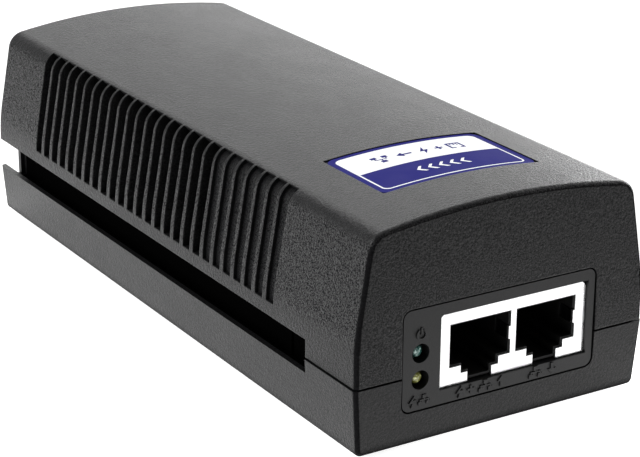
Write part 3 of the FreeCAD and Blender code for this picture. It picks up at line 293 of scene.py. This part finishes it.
def smooth_plastic(name, colour, roughness, specular=0.5, coat=0.0, wave=0.01):
    """Plastic from a polished mould: flow marks in the gloss and hardly any relief."""
    g = Graph(name, specular=specular, coat=coat)
    cloud = g.noise(6.0, detail=4.0, rough=0.65)
    fine = g.noise(0.3, detail=2.0)
    g.set("Base Color", g.mix(cloud, tinted(colour, 0.8), tinted(colour, 1.2)))
    g.set("Roughness", g.ease(cloud, 0.3, 0.7, roughness - 0.05, roughness + 0.07))
    g.bump((cloud, wave), (fine, wave * 0.25))
    return g.material


def rubber(name):
    g = Graph(name, specular=0.3)
    grit = g.noise(0.25, detail=3.0, rough=0.7)
    dust = g.noise(2.2, detail=4.0, rough=0.7)
    dusty = g.ease(dust, 0.5, 0.75)
    g.set("Base Color", g.mix(dusty, (0.018, 0.018, 0.019), (0.055, 0.053, 0.05)))
    g.set("Roughness", g.ease(dust, 0.4, 0.7, 0.78, 0.92))
    g.bump((grit, 0.03))
    return g.material


# ---- materials: metals -----------------------------------------------------------------
STREAK_SQUEEZE = 0.04
PAINTED_SHADE_BLUR = 0.4
PAINTED_SHADE_SHARE = 0.06  # of the colour, where the plating is painted dark as painted shade


def metal(name, colour, roughness, streak_axis="X", scratch=0.006, tarnish=None,
          painted_shade_behind=None):
    """Drawn or plated metal: fine lines along one axis, cloudy gloss and a trace of tarnish.

    The last argument gives a y, in millimetres, behind which the plating is painted dark, as
    painted shade deep inside the part.
    """
    g = Graph(name, metallic=1.0)
    squeeze = {"x": 1.0, "y": 1.0, "z": 1.0}
    squeeze[streak_axis.lower()] = STREAK_SQUEEZE
    lines = g.noise(0.12, detail=3.0, rough=0.6, at=g.stretched(**squeeze))
    cloud = g.noise(3.5, detail=4.0, rough=0.6)
    body = g.mix(g.ease(cloud, 0.45, 0.75), colour, tarnish or tinted(colour, 0.82))
    if painted_shade_behind is not None:
        # painted shade: behind the given y the plating is painted dark
        painted_shade = g.ease(g.part("Y"), painted_shade_behind * MM, (painted_shade_behind + PAINTED_SHADE_BLUR) * MM)
        body = g.mix(painted_shade, body, tinted(colour, PAINTED_SHADE_SHARE))
    g.set("Base Color", body)
    blend = g.math("ADD", g.math("MULTIPLY", cloud, 0.6), g.math("MULTIPLY", lines, 0.4))
    g.set("Roughness", g.ease(blend, 0.35, 0.65, roughness * 0.8, roughness * 1.3))
    g.bump((lines, scratch))
    return g.material


# ---- materials: lamps, board, electronics ----------------------------------------------
EPOXY_IOR = 1.53
LENS_PAINTED_GLOW = 0.12  # painted glow: light the lens gives off, standing in for daylight that the cup throws back
CUP_TO_RIM_SHADE_RADII = (0.3, 1.25)  # millimetres over which the cup's tint falls off into the painted shade at the rim
# millimetres over which the painted highlights fade out
PAINTED_GLINT_RADII = (0.5, 1.0)


def middle_of(node):
    low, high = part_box(node)
    return [(a + b) / 2 for a, b in zip(low, high)]


def lens(name, node, tint, pale):
    """Tinted epoxy: the cup's tint in its middle, painted dark towards its rim as painted shade,
    with pale glints in its middle as painted highlights; it also glows faintly, as painted
    light.
    """
    g = Graph(name, roughness=0.07, specular=0.5, coat=0.8, ior=EPOXY_IOR)
    local = g.stretched(centre=middle_of(node))
    across, up = g.part("X", local), g.part("Z", local)
    square = g.math("ADD", g.math("MULTIPLY", across, across), g.math("MULTIPLY", up, up))
    radius = g.math("SQRT", square)
    # painted shade: the tint darkens towards the lens's rim
    cup = g.ease(radius, *(r * MM for r in CUP_TO_RIM_SHADE_RADII), 1.0, 0.0)
    facets = g.noise(0.7, detail=3.0, rough=0.65)
    # painted highlights: pale glints in the lens's middle
    glint = g.math("MULTIPLY", g.ease(facets, 0.5, 0.62),
                   g.ease(radius, *(r * MM for r in PAINTED_GLINT_RADII), 1.0, 0.0))
    colour = g.mix(glint, g.mix(cup, tinted(tint, 0.06), tint), pale)
    g.set("Base Color", colour)
    # painted light: the lens glows with its own colour, glints included, though it is no lamp
    g.set("Emission Color", colour)
    g.set("Emission Strength", LENS_PAINTED_GLOW)
    g.bump((facets, 0.03))
    return g.material


def circuit_laminate(name):
    """Green solder mask over copper tracks, with the bare laminate showing at the edges."""
    g = Graph(name, specular=0.5, coat=0.3)
    tracks = g.cells(2.6, feature="DISTANCE_TO_EDGE", metric="MANHATTAN")
    track = g.ease(tracks, 0.06, 0.1, 1.0, 0.0)
    weave = g.math("MULTIPLY", g.bands(0.35, "X"), g.bands(0.35, "Y"))
    mask = g.mix(track, (0.012, 0.085, 0.035), (0.03, 0.17, 0.06))
    flat = g.ease(g.math("ABSOLUTE", g.normal_part("Z")), 0.4, 0.6)
    g.set("Base Color", g.mix(flat, (0.34, 0.28, 0.12), mask))
    g.set("Roughness", g.ease(g.noise(3.0), 0.3, 0.7, 0.25, 0.4))
    g.bump((track, 0.03), (weave, 0.01))
    return g.material


def package(name, node, body, metal_above=None, metal_below=None):
    """A moulded part in matt epoxy. Its metal tab and legs are told apart by height."""
    g = Graph(name, specular=0.4)
    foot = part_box(node)[0][2] / MM
    grit = g.noise(0.2, detail=3.0, rough=0.7)
    epoxy = g.mix(grit, tinted(body, 0.75), tinted(body, 1.3))
    bare = 0.0
    if metal_below is not None:
        bare = g.math("SUBTRACT", 1.0, g.above(foot + metal_below))
    if metal_above is not None:
        bare = g.math("ADD", bare, g.above(foot + metal_above))
    g.set("Base Color", g.mix(bare, epoxy, (0.72, 0.71, 0.69)))
    g.set("Metallic", bare)
    g.set("Roughness", g.ease(g.noise(1.5, detail=3.0), 0.3, 0.7, 0.32, 0.55))
    g.bump((grit, 0.015))
    return g.material


SLEEVE_LIP = 0.6  # how far below the can's top the bare aluminium begins


def can_sleeve(name, node, colour, height):
    """A capacitor's shrink sleeve with a paler stripe and a bare aluminium top."""
    g = Graph(name, specular=0.5, coat=0.2)
    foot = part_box(node)[0][2] / MM
    top = g.math("MULTIPLY", g.above(foot + height - SLEEVE_LIP),
                 g.ease(g.normal_part("Z"), 0.5, 0.7))
    stripe = g.ease(g.normal_part("X"), 0.93, 0.95)
    sleeve = g.mix(stripe, colour, (0.5, 0.55, 0.6))
    g.set("Base Color", g.mix(top, sleeve, (0.8, 0.8, 0.82)))
    g.set("Metallic", top)
    crinkle = g.noise(1.6, detail=3.0, at=g.stretched(1, 1, 0.35))
    g.set("Roughness", g.ease(crinkle, 0.3, 0.7, 0.2, 0.38))
    g.bump((crinkle, 0.04))
    return g.material


def wound(name, node, axis, turns, colour, gap):
    """Enamelled wire wound round a ring core: one ridge for each turn, darker between the turns.
    """
    g = Graph(name, roughness=0.28, specular=0.5, coat=0.5)
    local = g.stretched(centre=middle_of(node))
    first, second = {"X": ("Y", "Z"), "Z": ("X", "Y")}[axis]
    angle = g.math("ARCTAN2", g.part(first, local), g.part(second, local))
    ridge = g.ease(g.math("SINE", g.math("MULTIPLY", angle, float(turns))), -1.0, 1.0)
    g.set("Base Color", g.mix(g.ease(ridge, 0.05, 0.5), gap, colour))
    g.set("Metallic", 0.75)
    g.bump((ridge, 0.35), (g.noise(0.4), 0.01))
    return g.material


def ferrite(name):
    g = Graph(name, specular=0.35)
    grit = g.noise(0.35, detail=4.0, rough=0.75)
    g.set("Base Color", g.mix(grit, (0.02, 0.02, 0.022), (0.075, 0.075, 0.08)))
    g.set("Roughness", g.ease(g.noise(2.5, detail=3.0), 0.3, 0.7, 0.5, 0.75))
    g.bump((grit, 0.03))
    return g.material


def tape(name):
    """Layers of yellow polyester film, with the edge of each layer showing as a fine line."""
    g = Graph(name, roughness=0.25, specular=0.5, coat=0.4)
    layers = g.bands(0.9, "Z")
    wrinkle = g.noise(3.5, detail=4.0, rough=0.6, at=g.stretched(1, 1, 0.4))
    g.set("Base Color", g.mix(g.ease(layers, 0.85, 0.97), (0.78, 0.6, 0.05), (0.55, 0.4, 0.03)))
    g.bump((layers, 0.02), (wrinkle, 0.08))
    return g.material


def earth_insulation(name):
    """Green insulation with a yellow stripe down one side."""
    g = Graph(name, roughness=0.4, specular=0.4)
    stripe = g.ease(g.normal_part("X"), -0.1, 0.1)
    g.set("Base Color", g.mix(stripe, (0.04, 0.3, 0.06), (0.8, 0.62, 0.04)))
    g.bump((g.noise(0.8, detail=3.0), 0.01))
    return g.material


def printed_film(name, colour, roughness=0.24, specular=0.45):
    """A printed polyester film: even ink, slight orange peel and faint dust."""
    g = Graph(name, specular=specular)
    peel = g.noise(0.9, detail=2.0)
    mottle = g.noise(0.18, detail=2.0, rough=0.6)
    g.set("Base Color", g.mix(mottle, tinted(colour, 0.93), tinted(colour, 1.05)))
    dust = g.noise(5.0, detail=4.0)
    g.set("Roughness", g.ease(dust, 0.3, 0.7, roughness - 0.04, roughness + 0.08))
    g.bump((peel, 0.004))
    return g.material


NAVY = (0.018, 0.018, 0.16)
PAPER_WHITE = (0.86, 0.87, 0.88)
COPPER = (0.62, 0.24, 0.09)
BETWEEN_TURNS_DARK = (0.12, 0.03, 0.01)
SHIELD_LIP = 0.35  # how deep behind its face the shield keeps its bright plating before the painted shade begins
BOARD_STANDOFF = 3.95  # how far up a power device's legs are bare
TAB_HEIGHT = 13.5


def finishes():
    """The material of each CAD node."""
    lid = case_plastic("lid_grain", depth=0.12, roughness=0.32, specular=0.228,
                       sparkle_depth=0.95, edge=0.35)
    base = case_plastic("base_grain", depth=0.09, roughness=0.34, specular=0.245,
                        sparkle_depth=0.4)
    panel = moulded("panel_satin", (0.012, 0.012, 0.0125), grain=0.3, depth=0.018,
                    roughness=0.42, specular=0.33, speckle_and_pit_shade=0.15)
    inlet = moulded("inlet_satin", (0.014, 0.014, 0.0145), grain=0.25, depth=0.01,
                    roughness=0.36, specular=0.4, speckle_and_pit_shade=0.1)
    steel = metal("zinc_steel", (0.62, 0.62, 0.64), 0.32)
    gold = metal("contact_gold", (0.95, 0.66, 0.27), 0.2, "Y", 0.002)
    nickel = metal("pin_nickel", (0.72, 0.7, 0.66), 0.22, "Y")
    tinned = metal("lead_tin", (0.78, 0.78, 0.77), 0.35)
    sink = metal("sink_aluminium", (0.76, 0.77, 0.78), 0.38, "X", 0.01)
    core_green = smooth_plastic("core_coating", (0.03, 0.2, 0.08), 0.35, wave=0.03)
    insert = smooth_plastic("insert_black", (0.006, 0.006, 0.006), 0.5, specular=0.3)
    holder = smooth_plastic("holder_black", (0.02, 0.02, 0.02), 0.55)
    shield_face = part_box("jack_shield")[0][1] / MM
    dark = (0.02, 0.02, 0.022)
    made = {
        "upper_shell": lid, "lower_shell": base, "port_panel": panel, "rear_panel": panel,
        "ac_inlet": inlet,
        "rubber_feet": rubber("foot_rubber"),
        "case_screws": metal("black_steel", (0.2, 0.2, 0.21), 0.3),
        "board_screws": steel, "heatsink_screws": steel,
        "jack_shield": metal("tin_plate", (0.95, 0.95, 0.955), 0.3, scratch=0.0012,
                             tarnish=(0.89, 0.89, 0.895),
                             painted_shade_behind=shield_face + SHIELD_LIP),
        "jack_insert": insert, "lamp_holder": holder, "transformer_bobbin": holder,
        "contacts_out": gold, "contacts_in": gold, "contact_tails": gold, "lamp_leads": tinned,
        "lamp_power": lens("lens_green", "lamp_power", (0.05, 0.15, 0.13), (0.6, 0.85, 0.78)),
        "lamp_output": lens("lens_yellow", "lamp_output", (0.25, 0.25, 0.06),
                            (0.8, 0.85, 0.4)),
        "circuit_board": circuit_laminate("solder_mask"),
        "control_chips": package("chip_epoxy", "control_chips", (0.018, 0.018, 0.02)),
        "data_transformers": package("magnetics_epoxy", "data_transformers", dark),
        "optocoupler": package("opto_epoxy", "optocoupler", (0.62, 0.62, 0.6),
                               metal_below=0.6),
        "bridge_rectifier": package("bridge_epoxy", "bridge_rectifier", (0.02, 0.02, 0.02),
                                    metal_below=3.5),
        "switching_transistor": package("switch_epoxy", "switching_transistor", dark,
                                        TAB_HEIGHT, BOARD_STANDOFF),
        "output_rectifier": package("rectifier_epoxy", "output_rectifier", dark,
                                    TAB_HEIGHT, BOARD_STANDOFF),
        "bulk_capacitor": can_sleeve("bulk_sleeve", "bulk_capacitor", (0.012, 0.02, 0.07),
                                     height=26.0),
        "output_capacitors": can_sleeve("output_sleeve", "output_capacitors",
                                        (0.015, 0.015, 0.02), height=16.0),
        "line_choke_core": core_green, "output_choke_core": core_green,
        "line_choke_windings": wound("line_winding", "line_choke_windings", "X", 44,
                                     COPPER, BETWEEN_TURNS_DARK),
        "output_choke_winding": wound("output_winding", "output_choke_winding", "Z", 34,
                                      COPPER, BETWEEN_TURNS_DARK),
        "transformer_core": ferrite("ferrite"),
        "transformer_winding": tape("polyester_tape"),
        "primary_heatsink": sink, "secondary_heatsink": sink,
        "interference_capacitor": smooth_plastic("film_box", (0.75, 0.55, 0.06), 0.3,
                                                 wave=0.02),
        "safety_capacitor": smooth_plastic("disc_blue", (0.03, 0.12, 0.45), 0.3,
                                           coat=0.4, wave=0.04),
        "thermistor": smooth_plastic("disc_green", (0.02, 0.14, 0.07), 0.35,
                                     coat=0.3, wave=0.04),
        "input_fuse": smooth_plastic("fuse_brown", (0.1, 0.04, 0.02), 0.3, wave=0.015),
        "insulating_sheet": smooth_plastic("sheet_black", (0.012, 0.012, 0.012), 0.4,
                                           specular=0.4, wave=0.03),
        "line_pin": nickel, "neutral_pin": nickel, "earth_pin": nickel,
        "line_wire": smooth_plastic("wire_brown", (0.13, 0.05, 0.02), 0.4),
        "neutral_wire": smooth_plastic("wire_blue", (0.02, 0.07, 0.4), 0.4),
        "earth_wire": earth_insulation("wire_earth"),
        "top_label": printed_film("label_navy", NAVY, roughness=0.5, specular=0.02),
        "rating_label": printed_film("rating_silver", (0.62, 0.63, 0.64), roughness=0.34),
    }
    for name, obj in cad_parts.items():
        obj.data.materials.clear()
        obj.data.materials.append(made[name])


# ---- flat prints: outlines turned into thin pieces -------------------------------------
PRINT_THICKNESS = 0.02
PRINT_STRIP = 1.5  # the width of the strips that let a print follow a curved face
CORNER_STEPS = 8


def rounded(left, right, front, rear, radii):
    """A rounded rectangle's points; radii are front left, front right, rear right, rear left."""
    corners = [(left, front, 1, 1, 180), (right, front, -1, 1, 270),
               (right, rear, -1, -1, 0), (left, rear, 1, -1, 90)]
    points = []
    for (x, y, in_x, in_y, start), radius in zip(corners, radii):
        if radius == 0:
            points.append((x, y))
            continue
        for step in range(CORNER_STEPS + 1):
            turn = math.radians(start + 90 * step / CORNER_STEPS)
            points.append((x + in_x * radius + radius * math.cos(turn),
                           y + in_y * radius + radius * math.sin(turn)))
    return points


def print_piece(name, outlines, height, material, upward=True):
    """Closed outlines in millimetres as one thin piece lying on a curved or flat face.

    height gives the face's z for an x, and the piece stands proud of it by its thickness.
    """
    mesh = bmesh.new()
    for points in outlines:
        mesh.faces.new([mesh.verts.new((x, y, 0.0)) for x, y in points])
    mesh.normal_update()
    bmesh.ops.triangulate(mesh, faces=mesh.faces[:])
    low = min(v.co.x for v in mesh.verts)
    high = max(v.co.x for v in mesh.verts)
    cuts = int((high - low) / PRINT_STRIP)
    for cut in range(1, cuts + 1):
        across = low + (high - low) * cut / (cuts + 1)
        everything = mesh.verts[:] + mesh.edges[:] + mesh.faces[:]
        bmesh.ops.bisect_plane(mesh, geom=everything, dist=1e-5,
                               plane_co=(across, 0, 0), plane_no=(1, 0, 0))
    way = 1 if upward else -1
    for vert in mesh.verts:
        x, y = vert.co.x, vert.co.y
        vert.co = Vector((x, y, height(x) + way * PRINT_THICKNESS)) * MM
    mesh.normal_update()
    for face in mesh.faces:
        if face.normal.z * way < 0:
            face.normal_flip()
    data = bpy.data.meshes.new(name)
    mesh.to_mesh(data)
    mesh.free()
    data.materials.append(material)
    piece = bpy.data.objects.new(name, data)
    bpy.context.scene.collection.objects.link(piece)
    thick = piece.modifiers.new("thickness", "SOLIDIFY")
    thick.thickness = PRINT_THICKNESS * MM
    thick.offset = -1.0
    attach(piece, "root")
    return piece


def flipped(points, x, y, scale):
    """Symbol points turned to be read from the back of the case, like the rest of the label."""
    return [(x - u * scale, y - v * scale) for u, v in points]


def tile(left, right, front, rear):
    return [(left, front), (right, front), (right, rear), (left, rear)]


# Each symbol is a list of closed outlines, drawn about its own middle in a square of about two.
SOCKET = [
    [(-1.0, -0.9), (1.0, -0.9), (1.0, 0.9), (0.32, 0.9), (0.32, 0.66), (0.72, 0.66),
     (0.72, -0.62), (-0.72, -0.62), (-0.72, 0.66), (-0.32, 0.66), (-0.32, 0.9), (-1.0, 0.9)],
    tile(-0.5, -0.36, -0.62, -0.1), tile(-0.07, 0.07, -0.62, -0.1), tile(0.36, 0.5, -0.62, -0.1),
]
PLUS = [[
    (-0.55, -0.14), (-0.14, -0.14), (-0.14, -0.55), (0.14, -0.55), (0.14, -0.14), (0.55, -0.14),
    (0.55, 0.14), (0.14, 0.14), (0.14, 0.55), (-0.14, 0.55), (-0.14, 0.14), (-0.55, 0.14),
]]
BOLT = [[
    (0.25, 1.0), (-0.58, -0.13), (-0.05, -0.13), (-0.28, -1.0), (0.6, 0.2), (0.07, 0.2),
]]
ARROW = [[
    (-0.8, -0.14), (0.15, -0.14), (0.15, -0.5), (0.85, 0.0), (0.15, 0.5), (0.15, 0.14),
    (-0.8, 0.14),
]]
TREE = [  # three linked boxes, the usual drawing of a wired network
    tile(-0.36, 0.36, 0.38, 0.95), tile(-1.05, -0.35, -0.9, -0.35),
    tile(0.35, 1.05, -0.9, -0.35), tile(-0.07, 0.07, 0.07, 0.38),
    tile(-0.77, 0.77, -0.07, 0.07), tile(-0.77, -0.63, -0.35, -0.07),
    tile(0.63, 0.77, -0.35, -0.07),
]
CHEVRON = [[
    (-0.55, -0.8), (-0.15, -0.8), (0.55, 0.0), (-0.15, 0.8), (-0.55, 0.8), (0.1, 0.0),
]]

CROWN_RADIUS = 150.0
LABEL_MARGINS = (1.2, 1.55, 1.2, 1.15)  # left, right, front and rear of the printed field
FIELD_CORNER = 1.35
FIELD_LINE = 0.32
WHITE_SHARE = 0.497  # of the field's length, from the rear
SYMBOL_SCALE = 1.55
SYMBOL_ROW = [(SOCKET, 8.2, 1.0), (PLUS, 4.6, 1.0), (BOLT, 1.4, 1.1), (ARROW, -2.8, 1.25),
              (TREE, -7.6, 1.05)]  # each with its place along the row and its own scale
SYMBOL_ROW_SHIFT = -0.2
CHEVRON_COUNT, CHEVRON_START, CHEVRON_PITCH = 5, 4.6, 2.3
CHEVRON_ROW_SHIFT = 0.3


def top_label_print():
    low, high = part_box("top_label")
    label_top = high[2] / MM

    def height(x):
        return label_top - CROWN_RADIUS + math.sqrt(CROWN_RADIUS ** 2 - x ** 2)

    left = low[0] / MM + LABEL_MARGINS[0]
    right = high[0] / MM - LABEL_MARGINS[1]
    front = low[1] / MM + LABEL_MARGINS[2]
    rear = high[1] / MM - LABEL_MARGINS[3]
    split = rear - (rear - front) * WHITE_SHARE
    white = printed_film("label_white", PAPER_WHITE, roughness=0.5, specular=0.05)
    navy = printed_film("label_ink", NAVY, roughness=0.5, specular=0.02)
    wide, narrow = FIELD_CORNER, FIELD_CORNER - FIELD_LINE
    field = rounded(left, right, split, rear, (0, 0, wide, wide))
    print_piece("label_white_field", [field], height, white)
    # the line runs from the white field's left end round the front to its right end
    outer = rounded(left, right, front, split, (wide, wide, 0, 0))
    inner = rounded(left + FIELD_LINE, right - FIELD_LINE, front + FIELD_LINE, split,
                    (narrow, narrow, 0, 0))
    outer = outer[-1:] + outer[:-1]
    inner = inner[-1:] + inner[:-1]
    line = [[a, b, d, c] for a, b, c, d in zip(outer, outer[1:], inner, inner[1:])]
    print_piece("label_white_line", line, height, white)
    middle = (left + right) / 2
    row = (split + rear) / 2 + SYMBOL_ROW_SHIFT
    dark = [flipped(points, middle + offset, row, SYMBOL_SCALE * grow)
            for outlines, offset, grow in SYMBOL_ROW for points in outlines]
    print_piece("label_dark_symbols", dark, lambda x: height(x) + PRINT_THICKNESS, navy)
    row = (front + split) / 2 + CHEVRON_ROW_SHIFT
    pale = [flipped(points, middle + CHEVRON_START - place * CHEVRON_PITCH, row, SYMBOL_SCALE)
            for place in range(CHEVRON_COUNT) for points in CHEVRON]
    print_piece("label_pale_symbols", pale, height, white)


RATING_MARGIN = 1.5
RATING_RULE = 0.25
RATING_ROWS = 7


def rating_label_print():
    """A ruled frame and rows on the underside label."""
    low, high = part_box("rating_label")
    face = low[2] / MM
    left, front = low[0] / MM + RATING_MARGIN, low[1] / MM + RATING_MARGIN
    right, rear = high[0] / MM - RATING_MARGIN, high[1] / MM - RATING_MARGIN
    ink = printed_film("rating_ink", (0.03, 0.03, 0.035), roughness=0.4)
    rule = RATING_RULE
    bars = [tile(left, right, front, front + rule), tile(left, right, rear - rule, rear),
            tile(left, left + rule, front + rule, rear - rule),
            tile(right - rule, right, front + rule, rear - rule)]
    for row in range(1, RATING_ROWS):
        y = front + (rear - front) * row / RATING_ROWS
        bars.append(tile(left + rule, right - rule, y, y + rule))
    print_piece("rating_rules", bars, lambda x: face, ink, upward=False)


# ---- stage -----------------------------------------------------------------------------
# The floor is a pale sheet that glows as painted light, brightest right beside the object,
# where the glow lightens its shadow, with a painted pool of light in front of the sockets;
# further out the glow fades and the colour is painted a quieter grey as painted shade. Places
# and distances are in metres.
FLOOR_HALF = 3
FLOOR_CENTRE = (0.06, 0.06, 0.0)
FLOOR_MOTTLE = 400.0  # millimetres
FLOOR_NEAR = 0.17
FLOOR_FAR = 0.3
FLOOR_FAR_PAINTED_SHADE = 0.6
FLOOR_GLOW = 0.14
RIM_GLOW = 0.6
RIM_REACH = 0.03
FRONT_CENTRE = (0.02, -0.095, 0.0)  # a painted pool of light in front of the sockets
FRONT_NEAR = 0.02
FRONT_REACH = 0.078
FRONT_GLOW = 0.4
WORLD_STRENGTH = 0.01
# each lamp's place, what it looks at, its width and height, in metres, and its power in watts
LAMPS = {
    "front_fill": ((0.1, -1.4, 0.45), (0.0, 0.0, 0.0), 0.9, 0.4, 1.2),
    "front_high": ((0.5, -0.4, 0.8), (0.0, -0.07, 0.03), 0.5, 0.5, 0.5),
    "backdrop": ((0.45, 0.75, 0.25), (0.0, 0.0, 0.03), 1.0, 0.5, 1.35),
    "horizon": ((0.45, 0.9, 0.08), (0.0, 0.0, 0.03), 1.2, 0.16, 0.82),
    "back_high": ((0.3, 0.7, 0.75), (0.0, 0.0, 0.03), 0.6, 0.35, 4.1),
    "left_back": ((-0.45, 0.75, 0.3), (0.0, 0.0, 0.03), 0.7, 0.5, 0.7),
    "left": ((-0.75, 0.1, 0.35), (0.0, 0.0, 0.02), 0.5, 0.5, 6.7),
    "right": ((0.75, 0.0, 0.35), (0.0, 0.0, 0.02), 0.6, 0.5, 2.3),
    "right_low": ((0.8, 0.35, 0.15), (0.0, 0.0, 0.03), 0.5, 0.25, 4.8),
    "overhead": ((0.05, 0.1, 0.75), (0.0, 0.0, 0.0), 0.7, 0.7, 3.0),
}


def distance_from(g, centre):
    vector = g.node("VectorMath", {0: g.stretched(centre=centre)}, operation="LENGTH")
    return vector.outputs["Value"]


def add_floor():
    g = Graph("floor", roughness=0.6, specular=0.2)
    pale = g.mix(g.noise(FLOOR_MOTTLE, detail=1.0), (0.88, 0.88, 0.88), (0.9, 0.9, 0.9))
    near = g.ease(distance_from(g, FLOOR_CENTRE), FLOOR_NEAR, FLOOR_FAR, 1.0, 0.0)
    # painted shade: the floor's colour is darker further out
    g.set("Base Color", g.mix(near, (FLOOR_FAR_PAINTED_SHADE,) * 3, pale))
    squares = []
    for axis, half in (("X", cad_bounds[1][0]), ("Y", cad_bounds[1][1])):
        past = g.math("SUBTRACT", g.math("ABSOLUTE", g.part(axis)), half)
        past = g.math("MAXIMUM", past, 0.0)
        squares.append(g.math("MULTIPLY", past, past))
    beside = g.math("SQRT", g.math("ADD", *squares))
    rim = g.ease(beside, 0.0, RIM_REACH, RIM_GLOW, 0.0)
    front = g.ease(distance_from(g, FRONT_CENTRE), FRONT_NEAR, FRONT_REACH, FRONT_GLOW, 0.0)
    # painted light: the floor glows, most right beside the object and in front of the sockets
    glow = g.math("ADD", g.math("ADD", g.math("MULTIPLY", near, FLOOR_GLOW), rim), front)
    g.set("Emission Color", (1.0, 1.0, 1.0))
    g.set("Emission Strength", glow)
    mesh = bpy.data.meshes.new("floor")
    half = FLOOR_HALF
    mesh.from_pydata([(-half, -half, 0), (half, -half, 0), (half, half, 0), (-half, half, 0)],
                     [], [(0, 1, 2, 3)])
    mesh.materials.append(g.material)
    floor = bpy.data.objects.new("floor", mesh)
    bpy.context.scene.collection.objects.link(floor)


def add_lights():
    world = bpy.data.worlds.new("world")
    bpy.context.scene.world = world
    world.use_nodes = True
    sky = world.node_tree.nodes["Background"]
    sky.inputs["Color"].default_value = (1, 1, 1, 1)
    sky.inputs["Strength"].default_value = WORLD_STRENGTH
    for name, (place, target, width, height, power) in LAMPS.items():
        data = bpy.data.lights.new(name, "AREA")
        data.shape = "RECTANGLE"
        data.size = width
        data.size_y = height
        data.energy = power
        light = bpy.data.objects.new(name, data)
        light.location = place
        beam = Vector(target) - Vector(place)
        light.rotation_euler = beam.to_track_quat("-Z", "Y").to_euler()
        bpy.context.scene.collection.objects.link(light)


add_camera()
finishes()
top_label_print()
rating_label_print()
add_floor()
add_lights()
bpy.context.scene.view_settings.view_transform = "Standard"
